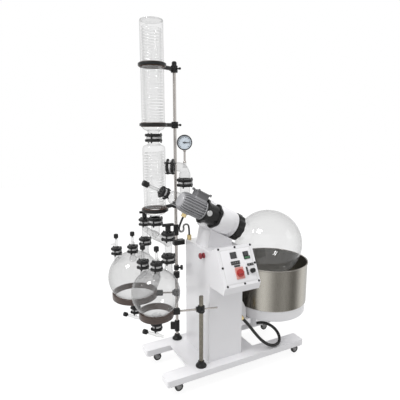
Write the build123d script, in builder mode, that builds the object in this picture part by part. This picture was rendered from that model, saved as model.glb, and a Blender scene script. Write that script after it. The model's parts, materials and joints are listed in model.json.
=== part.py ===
from build123d import *
import math
import os

os.makedirs("parts", exist_ok=True)

# Rotary evaporator with a lifting bath, two stacked condensers and two receivers.
# Millimetres, +Z up, floor at zero, +X towards the bath, -Y towards the control panel.

# Fits
fit = 0.3
running_fit = 0.05

# Centre plane of the base, cabinet and drive
machine_y = -60

# Base on castors
base_top = 110
base_x = 26
leg_length = 986
leg_width = 95
leg_height = 38
leg_wall = 3
leg_gap = 250
leg_corner = 10
leg_y = (leg_gap + leg_width) / 2
deck_length = 477
deck_x = -65.5
deck_thickness = 8

# Castors
castor_inset = 60
castor_trail = 30
plate_length = 80
plate_width = 88
plate_thickness = 4
swivel_pin_radius = 7
swivel_head = 3
fork_disc_radius = 20
fork_disc_thickness = 6
fork_top_gap = 1
fork_arm = 2.5
fork_arm_width = 16
wheel_radius = 25
wheel_width = 18
wheel_side_gap = 1.5
wheel_hub = 10
wheel_dish_start = 12.5
wheel_dish_end = 18.5
wheel_tyre_start = 20.5
wheel_shoulder = 23.5
wheel_web_half = 5.5
wheel_tread_half = 6
axle_radius = 4
pedal_length = 26
pedal_width = 18
leg_underside = base_top - leg_height
fork_top = leg_underside - plate_thickness - fork_top_gap

# Cabinet
cabinet_width = 236
cabinet_depth = 320
cabinet_top = 808
cabinet_x = -54
cabinet_wall = 2.5
cabinet_corner = 5
cabinet_left = cabinet_x - cabinet_width / 2
cabinet_right = cabinet_x + cabinet_width / 2
cabinet_front = machine_y - cabinet_depth / 2

# Control box, its lid tilted back on the cabinet front
box_drop = 207
box_nose = 165
box_nose_rise = 7
lid_foot = 179
lid_foot_rise = 40
lid_length = 228
lid_lean = 27.5
lid_thickness = 3
lid_plate_thickness = 2
lid_margin = 20
box_wall = 2.5
box_floor = cabinet_top - box_drop
box_nose_z = box_floor + box_nose_rise
lid_foot_z = box_nose_z + lid_foot_rise
lid_foot_y = cabinet_front - lid_foot
box_nose_y = cabinet_front - box_nose
lid_head_y = lid_foot_y + lid_length * math.sin(math.radians(lid_lean))
lid_head_z = lid_foot_z + lid_length * math.cos(math.radians(lid_lean))

# Panel fittings: centre on the lid, then width and height
display_thickness = 3
display_left = (-21, 61, 40, 36)
display_right = (61, 60, 36, 26)
display_green = (65, 37, 41, 18)
key_row = (-18, 18, 58, 20)
key_strip = (-12, -1, 37, 10)
wide_key = (76, -5, 41, 14)
tall_key = (46, -38, 10, 46)
switch_plate = (-5, -42, 54, 66)
switch_plate_thickness = 4
switch_x = -5
switch_y = -42
switch_radius = 22
switch_height = 14
switch_bar = 10
switch_bar_inset = 2
dial_x = 78
dial_y = -42
dial_radius = 14
dial_height = 18
dial_taper = 4
knob_shaft_radius = 4
knob_shaft_length = 12

# Emergency stop on the cabinet's left side
stop_y = -155
stop_drop = 38
stop_z = cabinet_top - stop_drop
stop_radius = 19
stop_height = 14
stop_round = 6
stop_stem_radius = 9
stop_collar_radius = 17
stop_collar_height = 12
stop_travel = 6
stop_stem_length = 34

# Flask on the tilted drive axis
tilt = 28
flask_x = 370
flask_drop = 60
flask_z = cabinet_top - flask_drop
flask_radius = 225
glass_wall = 5
flask_neck_radius = 60
flask_lip_radius = 68
flask_lip_station = 300
flask_lip_thickness = 12

# Drive head, stations measured up the axis from the flask centre
gear_module = 2
gear_teeth = 74
pinion_teeth = 56
gear_width = 24
pinion_reach = 1
gear_station = 485
tooth_share = 0.45
dedendum = 1.25
pressure_angle = 20
shaft_radius = 55
shaft_bore = 47
shaft_flange = 12
collar_radius = 88
collar_front = 15
collar_back = 14
collar_chamfer = 3
housing_start = 342
housing_length = 206
lobe_length = 102
barrel_radius = 86
housing_wall = 10
gear_room = 3
housing_chamfer = 4
bearing_width = 14
bearing_radius = 68
foot_drop = 3
foot_thickness = 14
foot_length = 172
motor_shaft_radius = 14
motor_flange_length = 100
motor_flange_radius = 74
motor_flange_lip = 16
motor_neck_radius = 63
motor_length = 160
motor_core_radius = 49
motor_fin_radius = 57
motor_fin_count = 28
motor_fin_width = 3
motor_cowl_length = 28
rotor_depth = 50
rotor_room = 1
terminal_seat = 60
terminal_length = 76
terminal_width = 66
terminal_height = 42
terminal_lid_height = 8
terminal_lid_reach = 4
terminal_offset = 12
centre_distance = gear_module * (gear_teeth + pinion_teeth) / 2
gear_outer = gear_module * (gear_teeth / 2 + 1)
pinion_outer = gear_module * (pinion_teeth / 2 + 1)
gear_lobe = gear_outer + gear_room + housing_wall
pinion_lobe = pinion_outer + gear_room + housing_wall
foot_depth = gear_lobe + foot_drop
shaft_start = flask_lip_station + flask_lip_thickness
housing_end = housing_start + housing_length
lobe_start = housing_end - lobe_length
motor_start = housing_end + motor_flange_length
motor_end = motor_start + motor_length

# Pedestal under the drive head
pedestal_width = 150
pedestal_y = -15
pedestal_right = 24
pedestal_head_x = -125
pedestal_foot_x = -145
pedestal_wall = 4

# Glass joints and their clamps
lip_thickness = 7
lip_reach = 8
clamp_thickness = 10
clamp_reach = 15
clamp_bolt_radius = 3.5
clamp_bolt_margin = 4
clamp_bolt_inset = 3
clamp_sides = 16

# Vapour tube on the axis, with the branch to the condenser
vapour_radius = 40
vapour_start = 290
bead_gap = 6
bead_thickness = 8
bead_reach = 6
seat_ring_radius = 54
seat_ring_length = 24
vapour_shoulder = 800
feed_neck_radius = 16
feed_neck_length = 30
feed_cone = 20
feed_station = vapour_shoulder + feed_cone + feed_neck_length
branch_x = -249
branch_radius = 30
branch_rise = 451
branch_joint_z = flask_z + branch_rise
elbow_radius = 26
elbow_rise = 91
elbow_z = branch_joint_z + elbow_rise
elbow_bend = 45
inlet_reach = 96
nipple_radius = 9
nipple_rise = 22
nipple_top = elbow_z + nipple_rise

# Condensers
condenser_x = -399
condenser_y = 40
condenser_radius = 66
condenser_wall = 4
condenser_neck = 31
lower_neck = 27
shoulder_height = 26
shoulder_radius = 53
shoulder_turn = 12
inlet_height = 262
lower_length = 365
upper_length = 574
neck_length = 66
top_neck_length = 63
lower_bottom = elbow_z - inlet_height
lower_top = lower_bottom + lower_length
bottom_joint_z = lower_bottom - neck_length
middle_joint_z = lower_top + top_neck_length
upper_bottom = middle_joint_z + neck_length
upper_top = upper_bottom + upper_length
dome_height = 22
dome_radius = 58
dome_turn = 9
crown_radius = 40
coil_radius = 50
coil_depth = 6
coil_wall = 5
coil_pitch = 30
coil_margin = 14
coil_stub_radius = 6

# Distributor and the valves above the receivers
valve_spread = 195
arm_drop = 90
arm_z = bottom_joint_z - arm_drop
arm_radius = 17
drop_radius = 20
valve_rise = 45
drop_length = 85
valve_joint_z = arm_z + valve_rise
main_joint_z = arm_z - drop_length
bonnet_radius = 16
bonnet_height = 26
handle_stem_radius = 7
handle_stem_room = 1
handle_grip_radius = 15
handle_grip_height = 32
handle_bar_length = 68
handle_bar_width = 20
handle_bar_height = 13
handle_round = 8
plug_length = 40

# Receivers
receiver_x = -478
receiver_wall = 4
rear_radius = 168
rear_hang = 225
rear_z = main_joint_z - rear_hang
front_radius = 137
front_hang = 187
front_z = main_joint_z - front_hang
main_neck_radius = 22
vent_neck_radius = 15
vent_joint_rise = 62
vent_height = 84
vent_tube_radius = 9
vent_bore = 6
vent_nipple_rise = 46
vent_nipple_radius = 5
vent_nipple_bore = 3
vent_nipple_length = 36
vent_root_radius = 7
vent_root_length = 16
knob_radius = 14
knob_height = 26
knob_stem_radius = 4
knob_chamfer = 2
rear_vent_left = -112
rear_vent_front_x = -30
rear_vent_front_y = -75
front_vent_left = -72
front_vent_front_x = -18
front_vent_front_y = -68
drain_neck_radius = 15
drain_neck_length = 66
drain_drop = 56
drain_lean = 28
drain_tube_radius = 9
drain_knob_side = 66
drain_outlet_side = 26
drain_nipple_radius = 8
drain_nipple_length = 20
feed_tube_length = 106
feed_knob_radius = 17
feed_knob_length = 36

# Poles and what they carry
pole_radius = 10
pole_x = -227
pole_y = 125
pole_spare = 42
pole_chamfer = 1
rod_radius = 12.5
rod_y = -225
rod_drop = 46
rod_top = front_z - rod_drop
rod_tail_radius = 5
rod_tail_length = 78
foot_radius = 33
foot_height = 10
foot_collar_radius = 19
foot_collar_height = 22
sleeve_radius = 17
sleeve_bottom = 165
sleeve_top = 240
coupling_rise = 25
coupling_length = 70
tie_drop = 38
tie_height = 30
coupling_bottom = cabinet_top + coupling_rise
tie_bottom = cabinet_top - tie_drop
tie_width = 46
boss_radius = 21
boss_height = 40
boss_reach = 30
boss_width = 26
arm_rod_radius = 7
ring_height = 24
ring_thickness = 8
pad_thickness = 5
band_rise = 336
middle_ring_rise = 8
lower_ring_rise = 6
band_z = upper_bottom + band_rise
middle_ring_z = upper_bottom + middle_ring_rise
lower_ring_z = lower_bottom + lower_ring_rise
pole_top = band_z + pole_spare
receiver_ring_height = 36
receiver_ring_thickness = 9
rear_ring_drop = 104
front_ring_drop = 108
pole_knob_radius = 11
pole_knob_length = 30

# Pressure gauge, turned to the front left
gauge_radius = 44
gauge_depth = 30
gauge_turn = 27
gauge_recess = 6
gauge_rim = 6
gauge_stem_radius = 6
gauge_stem_length = 74
gauge_stem_sink = 4
gauge_z = nipple_top + gauge_stem_length + gauge_radius
needle_length = 32
needle_tail = 10
needle_width = 5
needle_tip = 2
needle_thickness = 1.5
needle_hub = 5
needle_pin = 2
needle_lift = 1

# Bath and its lift
bath_x = 395
bath_radius = 246
bath_wall = 2
rim_drop = 115
bath_depth = 276
bath_rim = flask_z - rim_drop
bath_floor = bath_rim - bath_depth
bath_lip = 4
bath_lip_height = 8
pan_radius = 240
pan_height = 73
pan_bottom = bath_floor - pan_height
pan_wall = 3
heater_radius = 185
heater_tube = 6
rail_y = 55
rail_width = 20
rail_depth = 15
rail_rise = 15
rail_spare = 90
rail_bottom = base_top + rail_rise
carriage_thickness = 9
carriage_half = 78
carriage_height = 186
carriage_top = pan_bottom + carriage_height
rail_top = carriage_top + rail_spare
slide_depth = 12
bracket_reach = 280
bracket_thickness = 8
gusset_y = 66
gusset_height = 68

# Flexible conduits: points chosen along the way each one hangs
bend_share = 0.45
conduit_radius = 6
conduit_rises = [(-157, 75, 30), (-157, 75, 66), (-174, 55, 96), (-215, 10, 114), (-275, -58, 117),
                 (-322, -120, 124), (-346, -170, 146), (-340.7789, -190, 182.6821), (-322, -190, 218)]
conduit_points = [(x, y, cabinet_top + rise) for x, y, rise in conduit_rises]
hose_radius = 10
hose_hang = [(88, -190, 322), (120, -204.4, 284.3), (154, -220, 232), (198, -244, 172),
             (248, -264, 132), (298, -270, 122), (340, -256, 132)]
hose_drops = [(364, -220, 132), (362, -180, 106), (338, -144, 84), (292, -112, 71), (246, -112, 71)]
hose_points = hose_hang + [(x, y, pan_bottom - drop) for x, y, drop in hose_drops]
spigot_x = 226
gland_radius = 14
gland_margin = 4
gland_depth = 60


def keep(builder, name):
    """Name a finished piece and write it out."""
    builder.part.label = name
    export_step(builder.part, f"parts/{name}.step")


def upright(x, y, z):
    """A level plane whose normal points up."""
    return Plane(origin=(x, y, z), x_dir=(1, 0, 0), z_dir=(0, 0, 1))


def turned_plane(plane):
    """Sketch plane for a revolved outline: radius to the right, the plane's normal upwards."""
    return Plane(origin=plane.origin, x_dir=plane.x_dir, z_dir=-plane.y_dir)


def disc(plane, radius, height, mode=Mode.ADD):
    """A cylinder standing on a plane."""
    with Locations(plane):
        Cylinder(radius, height, align=(Align.CENTER, Align.CENTER, Align.MIN), mode=mode)


def ring(plane, outer, inner, height):
    """A flat ring standing on a plane."""
    with BuildSketch(plane) as outline:
        Circle(outer)
        Circle(inner, mode=Mode.SUBTRACT)
    extrude(outline.sketch, amount=height)


def clamp(joint, tube):
    """Two rings behind the lips of a glass joint, drawn together by four bolts."""
    reach = tube + clamp_reach
    for side in (lip_thickness, -lip_thickness - clamp_thickness):
        with BuildSketch(joint.offset(side)) as plate:
            RegularPolygon(reach, clamp_sides)
            Circle(tube + fit, mode=Mode.SUBTRACT)
        extrude(plate.sketch, amount=clamp_thickness)
    half = lip_thickness + clamp_thickness + clamp_bolt_margin
    with BuildSketch(joint.offset(-half)) as bolts:
        with PolarLocations(reach - clamp_bolt_inset, 4, start_angle=45):
            RegularPolygon(clamp_bolt_radius, 6)
    extrude(bolts.sketch, amount=2 * half)


def gear_outline(teeth):
    """Corner points of a spur gear with straight flanks and room between the teeth."""
    pitch_radius = gear_module * teeth / 2
    pitch = math.pi * gear_module
    slope = math.tan(math.radians(pressure_angle))
    tip = pitch_radius + gear_module
    root = pitch_radius - dedendum * gear_module
    half_tip = tooth_share * pitch / 2 - gear_module * slope
    half_root = tooth_share * pitch / 2 + dedendum * gear_module * slope
    points = []
    for tooth in range(teeth):
        middle = 2 * math.pi * tooth / teeth
        for radius, half in ((root, -half_root), (tip, -half_tip), (tip, half_tip), (root, half_root)):
            angle = middle + half / radius
            points.append((radius * math.cos(angle), radius * math.sin(angle)))
    return points


def run_radii(points):
    """Largest bend at each corner of a route: a share of the shorter run over the half-turn's tangent."""
    radii = []
    for before, here, after in zip(points, points[1:], points[2:]):
        first = Vector(*here) - Vector(*before)
        second = Vector(*after) - Vector(*here)
        half_turn = math.radians(first.get_angle(second)) / 2
        radii.append(bend_share * min(first.length, second.length) / math.tan(half_turn))
    return radii


def tube_along(points, radius):
    """A round tube along straight runs joined by tangent arcs."""
    start = Plane(origin=points[0], z_dir=Vector(*points[1]) - Vector(*points[0]))
    with BuildPart() as tube:
        with BuildLine() as route:
            FilletPolyline(*points, radius=run_radii(points))
        with BuildSketch(start):
            Circle(radius)
        sweep(path=route.wires()[0])
    return tube


# Planes that carry the drive
drive_axis = Plane(
    origin=(flask_x, machine_y, flask_z),
    x_dir=(0, 1, 0),
    z_dir=(-math.cos(math.radians(tilt)), 0, math.sin(math.radians(tilt))),
)
motor_axis = Plane(
    origin=drive_axis.from_local_coords((-centre_distance, 0, 0)),
    x_dir=drive_axis.x_dir,
    z_dir=drive_axis.z_dir,
)

# Base frame: two channel legs and the deck welded between them
with BuildPart() as base_frame:
    with Locations((base_x, machine_y + leg_y, base_top), (base_x, machine_y - leg_y, base_top)):
        Box(leg_length, leg_width, leg_height, align=(Align.CENTER, Align.CENTER, Align.MAX))
    corners = base_frame.edges().filter_by(Axis.Z)
    fillet(corners, leg_corner)
    with Locations(*[(base_x, machine_y + side * leg_y, base_top - leg_wall) for side in (-1, 1)]):
        Box(leg_length - 2 * leg_wall, leg_width - 2 * leg_wall, leg_height,
            align=(Align.CENTER, Align.CENTER, Align.MAX), mode=Mode.SUBTRACT)
    with Locations((deck_x, machine_y, base_top)):
        Box(deck_length, leg_gap, deck_thickness, align=(Align.CENTER, Align.CENTER, Align.MAX))
keep(base_frame, "base_frame")

# Castors: a plate with its swivel pin, a fork that turns on the pin and a wheel in the fork
castor_x = leg_length / 2 - castor_inset
castor_spots = [(base_x + end * castor_x, machine_y + side * leg_y) for end in (-1, 1) for side in (-1, 1)]
castor_names = ["front_left", "rear_left", "front_right", "rear_right"]
with BuildPart() as castor_plates:
    for x, y in castor_spots:
        with Locations((x, y, leg_underside)):
            Box(plate_length, plate_width, plate_thickness, align=(Align.CENTER, Align.CENTER, Align.MAX))
        pin_length = fork_top_gap + fork_disc_thickness + fork_top_gap
        disc(upright(x, y, leg_underside - plate_thickness - pin_length), swivel_pin_radius, pin_length)
        disc(upright(x, y, leg_underside - plate_thickness - pin_length - swivel_head),
             swivel_pin_radius + swivel_head, swivel_head)
keep(castor_plates, "castor_plates")

arm_inside = wheel_width / 2 + wheel_side_gap
for (x, y), name in zip(castor_spots, castor_names):
    with BuildPart() as castor_fork:
        disc(upright(x, y, fork_top - fork_disc_thickness), fork_disc_radius, fork_disc_thickness)
        for start in (arm_inside, -arm_inside - fork_arm):
            with BuildSketch(Plane(origin=(x, y + start, 0), x_dir=(1, 0, 0), z_dir=(0, -1, 0))):
                with Locations((0, fork_top - fork_arm_width / 2)):
                    Circle(fork_arm_width / 2)
                with Locations((castor_trail, wheel_radius)):
                    Circle(fork_arm_width / 2)
                make_hull()
            extrude(amount=-fork_arm)
        axle_half = arm_inside + fork_arm
        axle_start = Plane(origin=(x + castor_trail, y + axle_half, wheel_radius), z_dir=(0, -1, 0))
        disc(axle_start, axle_radius, 2 * axle_half)
        with Locations((x - fork_disc_radius / 2, y, fork_top)):
            Box(pedal_length, pedal_width, plate_thickness, align=(Align.MAX, Align.CENTER, Align.MAX))
        disc(upright(x, y, fork_top - fork_disc_thickness), swivel_pin_radius + running_fit,
             fork_disc_thickness, Mode.SUBTRACT)
    keep(castor_fork, f"castor_fork_{name}")

    wheel_plane = Plane(origin=(x + castor_trail, y, wheel_radius), x_dir=(1, 0, 0), z_dir=(0, -1, 0))
    with BuildPart() as castor_wheel:
        with BuildSketch(turned_plane(wheel_plane)):
            with BuildLine():
                half = wheel_width / 2
                side = [(axle_radius + running_fit, half), (wheel_hub, half),
                        (wheel_dish_start, wheel_web_half), (wheel_dish_end, wheel_web_half),
                        (wheel_tyre_start, half), (wheel_shoulder, half), (wheel_radius, wheel_tread_half)]
                Polyline(*[(radius, -height) for radius, height in side], *reversed(side), close=True)
            make_face()
        revolve(axis=Axis(wheel_plane.origin, wheel_plane.z_dir))
    keep(castor_wheel, f"castor_wheel_{name}")

# Cabinet: a folded steel shell open to the deck
with BuildPart() as cabinet_shell:
    with Locations((cabinet_x, machine_y, base_top)):
        Box(cabinet_width, cabinet_depth, cabinet_top - base_top,
            align=(Align.CENTER, Align.CENTER, Align.MIN))
    fillet(cabinet_shell.edges().filter_by(Axis.Z), cabinet_corner)
    fillet(cabinet_shell.faces().sort_by(Axis.Z)[-1].edges(), cabinet_corner)
    offset(amount=-cabinet_wall, openings=cabinet_shell.faces().sort_by(Axis.Z)[0])
    stop_plane = Plane(origin=(cabinet_left, stop_y, stop_z), x_dir=(0, 1, 0), z_dir=(-1, 0, 0))
    disc(stop_plane.offset(-2 * cabinet_wall), stop_stem_radius + fit, 4 * cabinet_wall, Mode.SUBTRACT)
keep(cabinet_shell, "cabinet_shell")

# Control box: a folded wedge on the cabinet front, open under its lid
lid_plane = Plane(
    origin=(cabinet_x, (lid_foot_y + lid_head_y) / 2, (lid_foot_z + lid_head_z) / 2),
    x_dir=(1, 0, 0),
    z_dir=(0, -math.cos(math.radians(lid_lean)), math.sin(math.radians(lid_lean))),
)
with BuildPart() as control_box:
    with BuildSketch(Plane(origin=(cabinet_left, 0, 0), x_dir=(0, 1, 0), z_dir=(1, 0, 0))):
        with BuildLine():
            Polyline((cabinet_front, box_floor), (box_nose_y, box_nose_z), (lid_foot_y, lid_foot_z),
                     (lid_head_y, lid_head_z), (cabinet_front, cabinet_top), close=True)
        make_face()
    extrude(amount=cabinet_width)
    offset(amount=-box_wall, openings=control_box.faces().sort_by_distance(lid_plane.origin)[0])
keep(control_box, "control_box")

lid_face = lid_plane.offset(lid_thickness + lid_plate_thickness)
switch_plane = Plane(origin=lid_face.from_local_coords((switch_x, switch_y, 0)), x_dir=(1, 0, 0),
                     z_dir=lid_face.z_dir).offset(switch_plate_thickness)
dial_plane = Plane(origin=lid_face.from_local_coords((dial_x, dial_y, 0)), x_dir=(1, 0, 0),
                   z_dir=lid_face.z_dir)
with BuildPart() as panel_lid:
    with BuildSketch(lid_plane):
        RectangleRounded(cabinet_width, lid_length, cabinet_corner)
    extrude(amount=lid_thickness)
    with BuildSketch(lid_plane.offset(lid_thickness)):
        RectangleRounded(cabinet_width - 2 * lid_margin, lid_length - 2 * lid_margin, cabinet_corner)
    extrude(amount=lid_plate_thickness)
    for plane in (switch_plane, dial_plane):
        disc(plane.offset(-knob_shaft_length), knob_shaft_radius + fit, knob_shaft_length, Mode.SUBTRACT)
keep(panel_lid, "panel_lid")

with BuildPart() as panel_displays:
    windows = (display_left, display_right, display_green, key_row, key_strip, wide_key, tall_key)
    for x, y, width, height in windows:
        with BuildSketch(lid_face):
            with Locations((x, y)):
                Rectangle(width, height)
        extrude(amount=display_thickness)
    with BuildSketch(lid_face):
        with Locations(switch_plate[:2]):
            RectangleRounded(*switch_plate[2:], cabinet_corner)
        with Locations((switch_x, switch_y)):
            Circle(knob_shaft_radius + fit, mode=Mode.SUBTRACT)
    extrude(amount=switch_plate_thickness)
    ring(stop_plane, stop_collar_radius, stop_stem_radius + fit, stop_collar_height)
keep(panel_displays, "panel_displays")

with BuildPart() as main_switch_knob:
    disc(switch_plane.offset(fit), switch_radius, switch_height / 2)
    with BuildSketch(switch_plane.offset(fit + switch_height / 2)):
        SlotOverall(2 * (switch_radius - switch_bar_inset), switch_bar)
    extrude(amount=switch_height / 2)
    disc(switch_plane.offset(-knob_shaft_length), knob_shaft_radius, knob_shaft_length + fit)
keep(main_switch_knob, "main_switch_knob")

with BuildPart() as speed_knob:
    with BuildSketch(dial_plane.offset(fit)):
        Circle(dial_radius)
    extrude(amount=dial_height, taper=dial_taper)
    disc(dial_plane.offset(-knob_shaft_length), knob_shaft_radius, knob_shaft_length + fit)
keep(speed_knob, "speed_knob")

stop_cap_start = stop_collar_height + stop_travel + fit
with BuildPart() as stop_button:
    disc(stop_plane.offset(stop_cap_start), stop_radius, stop_height)
    fillet(stop_button.faces().sort_by(Axis.X)[0].edges(), stop_round)
    disc(stop_plane.offset(stop_cap_start - stop_stem_length), stop_stem_radius, stop_stem_length)
keep(stop_button, "stop_button")

# Rotary flask: a round flask with a short lipped neck
with BuildPart() as rotary_flask:
    with Locations(drive_axis):
        Sphere(flask_radius)
    disc(drive_axis, flask_neck_radius, shaft_start)
    disc(drive_axis.offset(flask_lip_station), flask_lip_radius, flask_lip_thickness)
    with Locations(drive_axis):
        Sphere(flask_radius - glass_wall, mode=Mode.SUBTRACT)
    disc(drive_axis, flask_neck_radius - glass_wall, shaft_start, Mode.SUBTRACT)
keep(rotary_flask, "rotary_flask")

# Collar nut that draws the flask's lip onto the shaft flange
collar_start = flask_lip_station - collar_front
collar_length = collar_front + flask_lip_thickness + shaft_flange + collar_back
with BuildPart() as collar_nut:
    disc(drive_axis.offset(collar_start), collar_radius, collar_length)
    chamfer(collar_nut.edges().filter_by(GeomType.CIRCLE), collar_chamfer)
    disc(drive_axis.offset(collar_start), flask_neck_radius + fit, collar_length, Mode.SUBTRACT)
    disc(drive_axis.offset(flask_lip_station), flask_lip_radius + fit,
         flask_lip_thickness + shaft_flange, Mode.SUBTRACT)
keep(collar_nut, "collar_nut")

# Hollow shaft with its gear
shaft_end = housing_end - fit
with BuildPart() as drive_gear:
    with BuildSketch(drive_axis.offset(gear_station)):
        with BuildLine():
            Polyline(*gear_outline(gear_teeth), close=True)
        make_face()
    extrude(amount=gear_width)
    disc(drive_axis.offset(shaft_start), flask_lip_radius, shaft_flange)
    disc(drive_axis.offset(shaft_start), shaft_radius, shaft_end - shaft_start)
    disc(drive_axis.offset(shaft_start), shaft_bore, shaft_end - shaft_start, Mode.SUBTRACT)
keep(drive_gear, "drive_gear")

# Bearings at both walls of the housing
with BuildPart() as shaft_bearings:
    for station in (housing_start, housing_end - bearing_width):
        ring(drive_axis.offset(station), bearing_radius, shaft_radius + running_fit, bearing_width)
keep(shaft_bearings, "shaft_bearings")

# Motor shaft with its pinion, turned half a tooth so that the teeth mesh
gear_phase = math.pi * gear_teeth % (2 * math.pi) / gear_teeth
pinion_turn = math.pi / pinion_teeth - gear_phase * gear_teeth / pinion_teeth
pinion_plane = Plane(
    origin=motor_axis.offset(gear_station - pinion_reach).origin,
    x_dir=motor_axis.x_dir * math.cos(pinion_turn) + motor_axis.y_dir * math.sin(pinion_turn),
    z_dir=motor_axis.z_dir,
)
with BuildPart() as motor_pinion:
    with BuildSketch(pinion_plane):
        with BuildLine():
            Polyline(*gear_outline(pinion_teeth), close=True)
        make_face()
    extrude(amount=gear_width + 2 * pinion_reach)
    disc(motor_axis.offset(gear_station), motor_shaft_radius, motor_start + rotor_depth - gear_station)
keep(motor_pinion, "motor_pinion")

# Drive housing: a barrel on a foot, widened at its back into the gear case that carries the motor
with BuildPart() as drive_housing:
    disc(drive_axis.offset(housing_start), barrel_radius, housing_length - lobe_length + bearing_width)
    with BuildSketch(drive_axis.offset(lobe_start)):
        Circle(gear_lobe)
        with Locations((-centre_distance, 0)):
            Circle(pinion_lobe)
        make_hull()
    extrude(amount=lobe_length)
    along_axis = Axis(drive_axis.origin, drive_axis.z_dir)
    chamfer(drive_housing.faces().sort_by(along_axis)[0].edges(), housing_chamfer)
    with BuildSketch(Plane(origin=drive_axis.from_local_coords((0, foot_depth, housing_start)),
                           x_dir=drive_axis.x_dir, z_dir=-drive_axis.y_dir)):
        with Locations((pedestal_y, foot_length / 2)):
            Rectangle(pedestal_width, foot_length)
    extrude(amount=foot_thickness)
    with BuildSketch(drive_axis.offset(lobe_start + bearing_width)):
        Circle(gear_lobe - housing_wall)
        with Locations((-centre_distance, 0)):
            Circle(pinion_lobe - housing_wall)
        make_hull()
    extrude(amount=lobe_length - 2 * bearing_width, mode=Mode.SUBTRACT)
    disc(drive_axis.offset(housing_start), bearing_radius + running_fit, housing_length, Mode.SUBTRACT)
    disc(motor_axis.offset(housing_end - bearing_width), motor_shaft_radius + rotor_room, bearing_width,
         Mode.SUBTRACT)
keep(drive_housing, "drive_housing")

# Pedestal: a folded wedge from the cabinet top to the housing foot
foot_line = drive_axis.from_local_coords((0, foot_depth, housing_start))
foot_slope = math.tan(math.radians(tilt))
with BuildPart() as drive_pedestal:
    back_y = machine_y + pedestal_y + pedestal_width / 2
    with BuildSketch(Plane(origin=(0, back_y, 0), x_dir=(1, 0, 0), z_dir=(0, -1, 0))):
        with BuildLine():
            Polyline((pedestal_right, cabinet_top),
                     (pedestal_right, foot_line.Z + foot_slope * (foot_line.X - pedestal_right)),
                     (pedestal_head_x, foot_line.Z + foot_slope * (foot_line.X - pedestal_head_x)),
                     (pedestal_foot_x, cabinet_top), close=True)
        make_face()
    extrude(amount=pedestal_width)
    offset(amount=-pedestal_wall, openings=drive_pedestal.faces().sort_by(Axis.Z)[0])
keep(drive_pedestal, "drive_pedestal")

# Motor flange, ribbed motor body and terminal box
with BuildPart() as motor_flange:
    disc(motor_axis.offset(housing_end), motor_neck_radius, motor_flange_length)
    for station in (housing_end, motor_start - motor_flange_lip):
        disc(motor_axis.offset(station), motor_flange_radius, motor_flange_lip)
    disc(motor_axis.offset(housing_end), motor_shaft_radius + running_fit, motor_flange_length, Mode.SUBTRACT)
keep(motor_flange, "motor_flange")

terminal_plane = Plane(origin=motor_axis.from_local_coords((0, 0, motor_start + terminal_offset)),
                       x_dir=motor_axis.x_dir, z_dir=-motor_axis.y_dir)
gland_foot = motor_axis.to_local_coords(Vector(*conduit_points[-1]))
gland_plane = Plane(origin=motor_axis.from_local_coords((0, 0, gland_foot.Z)), x_dir=motor_axis.x_dir,
                    z_dir=motor_axis.y_dir)
fin_step = 360 / motor_fin_count
with BuildPart() as motor_body:
    disc(motor_axis.offset(motor_start), motor_core_radius, motor_length)
    disc(motor_axis.offset(motor_end - motor_cowl_length), motor_fin_radius, motor_cowl_length)
    with BuildSketch(motor_axis.offset(motor_start)):
        for fin in range(motor_fin_count):
            angle = 90 + (fin + 0.5) * fin_step
            with PolarLocations(motor_core_radius, 1, start_angle=angle):
                Rectangle(2 * (motor_fin_radius - motor_core_radius), motor_fin_width)
    extrude(amount=motor_length)
    with BuildSketch(terminal_plane):
        with Locations((0, terminal_length / 2)):
            Rectangle(terminal_width, terminal_length)
    extrude(amount=terminal_seat)
    with BuildSketch(gland_plane):
        Rectangle(2 * gland_radius + gland_margin, 2 * gland_radius + gland_margin)
    extrude(amount=terminal_seat)
    disc(motor_axis.offset(motor_start), motor_shaft_radius + rotor_room, rotor_depth + rotor_room,
         Mode.SUBTRACT)
keep(motor_body, "motor_body")

with BuildPart() as terminal_box:
    with BuildSketch(terminal_plane.offset(terminal_seat)):
        with Locations((0, terminal_length / 2)):
            RectangleRounded(terminal_width, terminal_length, cabinet_corner)
    extrude(amount=terminal_height)
    with BuildSketch(terminal_plane.offset(terminal_seat + terminal_height)):
        with Locations((0, terminal_length / 2)):
            RectangleRounded(terminal_width + 2 * terminal_lid_reach,
                             terminal_length + 2 * terminal_lid_reach, cabinet_corner)
    extrude(amount=terminal_lid_height)
keep(terminal_box, "terminal_box")

# Vapour tube through the shaft, with its branch up to the condenser and its feed neck
feed_joint = drive_axis.offset(feed_station)
branch_z = flask_z + (flask_x - branch_x) * math.tan(math.radians(tilt))
branch_base = upright(branch_x, machine_y, branch_z)
branch_joint = upright(branch_x, machine_y, branch_joint_z)
seat_station = housing_end + bead_gap
with BuildPart() as vapour_tee:
    for wall, mode in ((0, Mode.ADD), (glass_wall, Mode.SUBTRACT)):
        disc(drive_axis.offset(vapour_start), vapour_radius - wall, vapour_shoulder - vapour_start, mode)
        with Locations(drive_axis.offset(vapour_shoulder)):
            Cone(vapour_radius - wall, feed_neck_radius - wall, feed_cone,
                 align=(Align.CENTER, Align.CENTER, Align.MIN), mode=mode)
        disc(drive_axis.offset(vapour_shoulder + feed_cone), feed_neck_radius - wall,
             feed_station - vapour_shoulder - feed_cone, mode)
        disc(branch_base, branch_radius - wall, branch_joint_z - branch_z, mode)
        if mode == Mode.ADD:
            disc(feed_joint.offset(-lip_thickness), feed_neck_radius + lip_reach, lip_thickness)
            disc(branch_joint.offset(-lip_thickness), branch_radius + lip_reach, lip_thickness)
            disc(drive_axis.offset(seat_station), vapour_radius + bead_reach, bead_thickness)
keep(vapour_tee, "vapour_tee")

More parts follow.
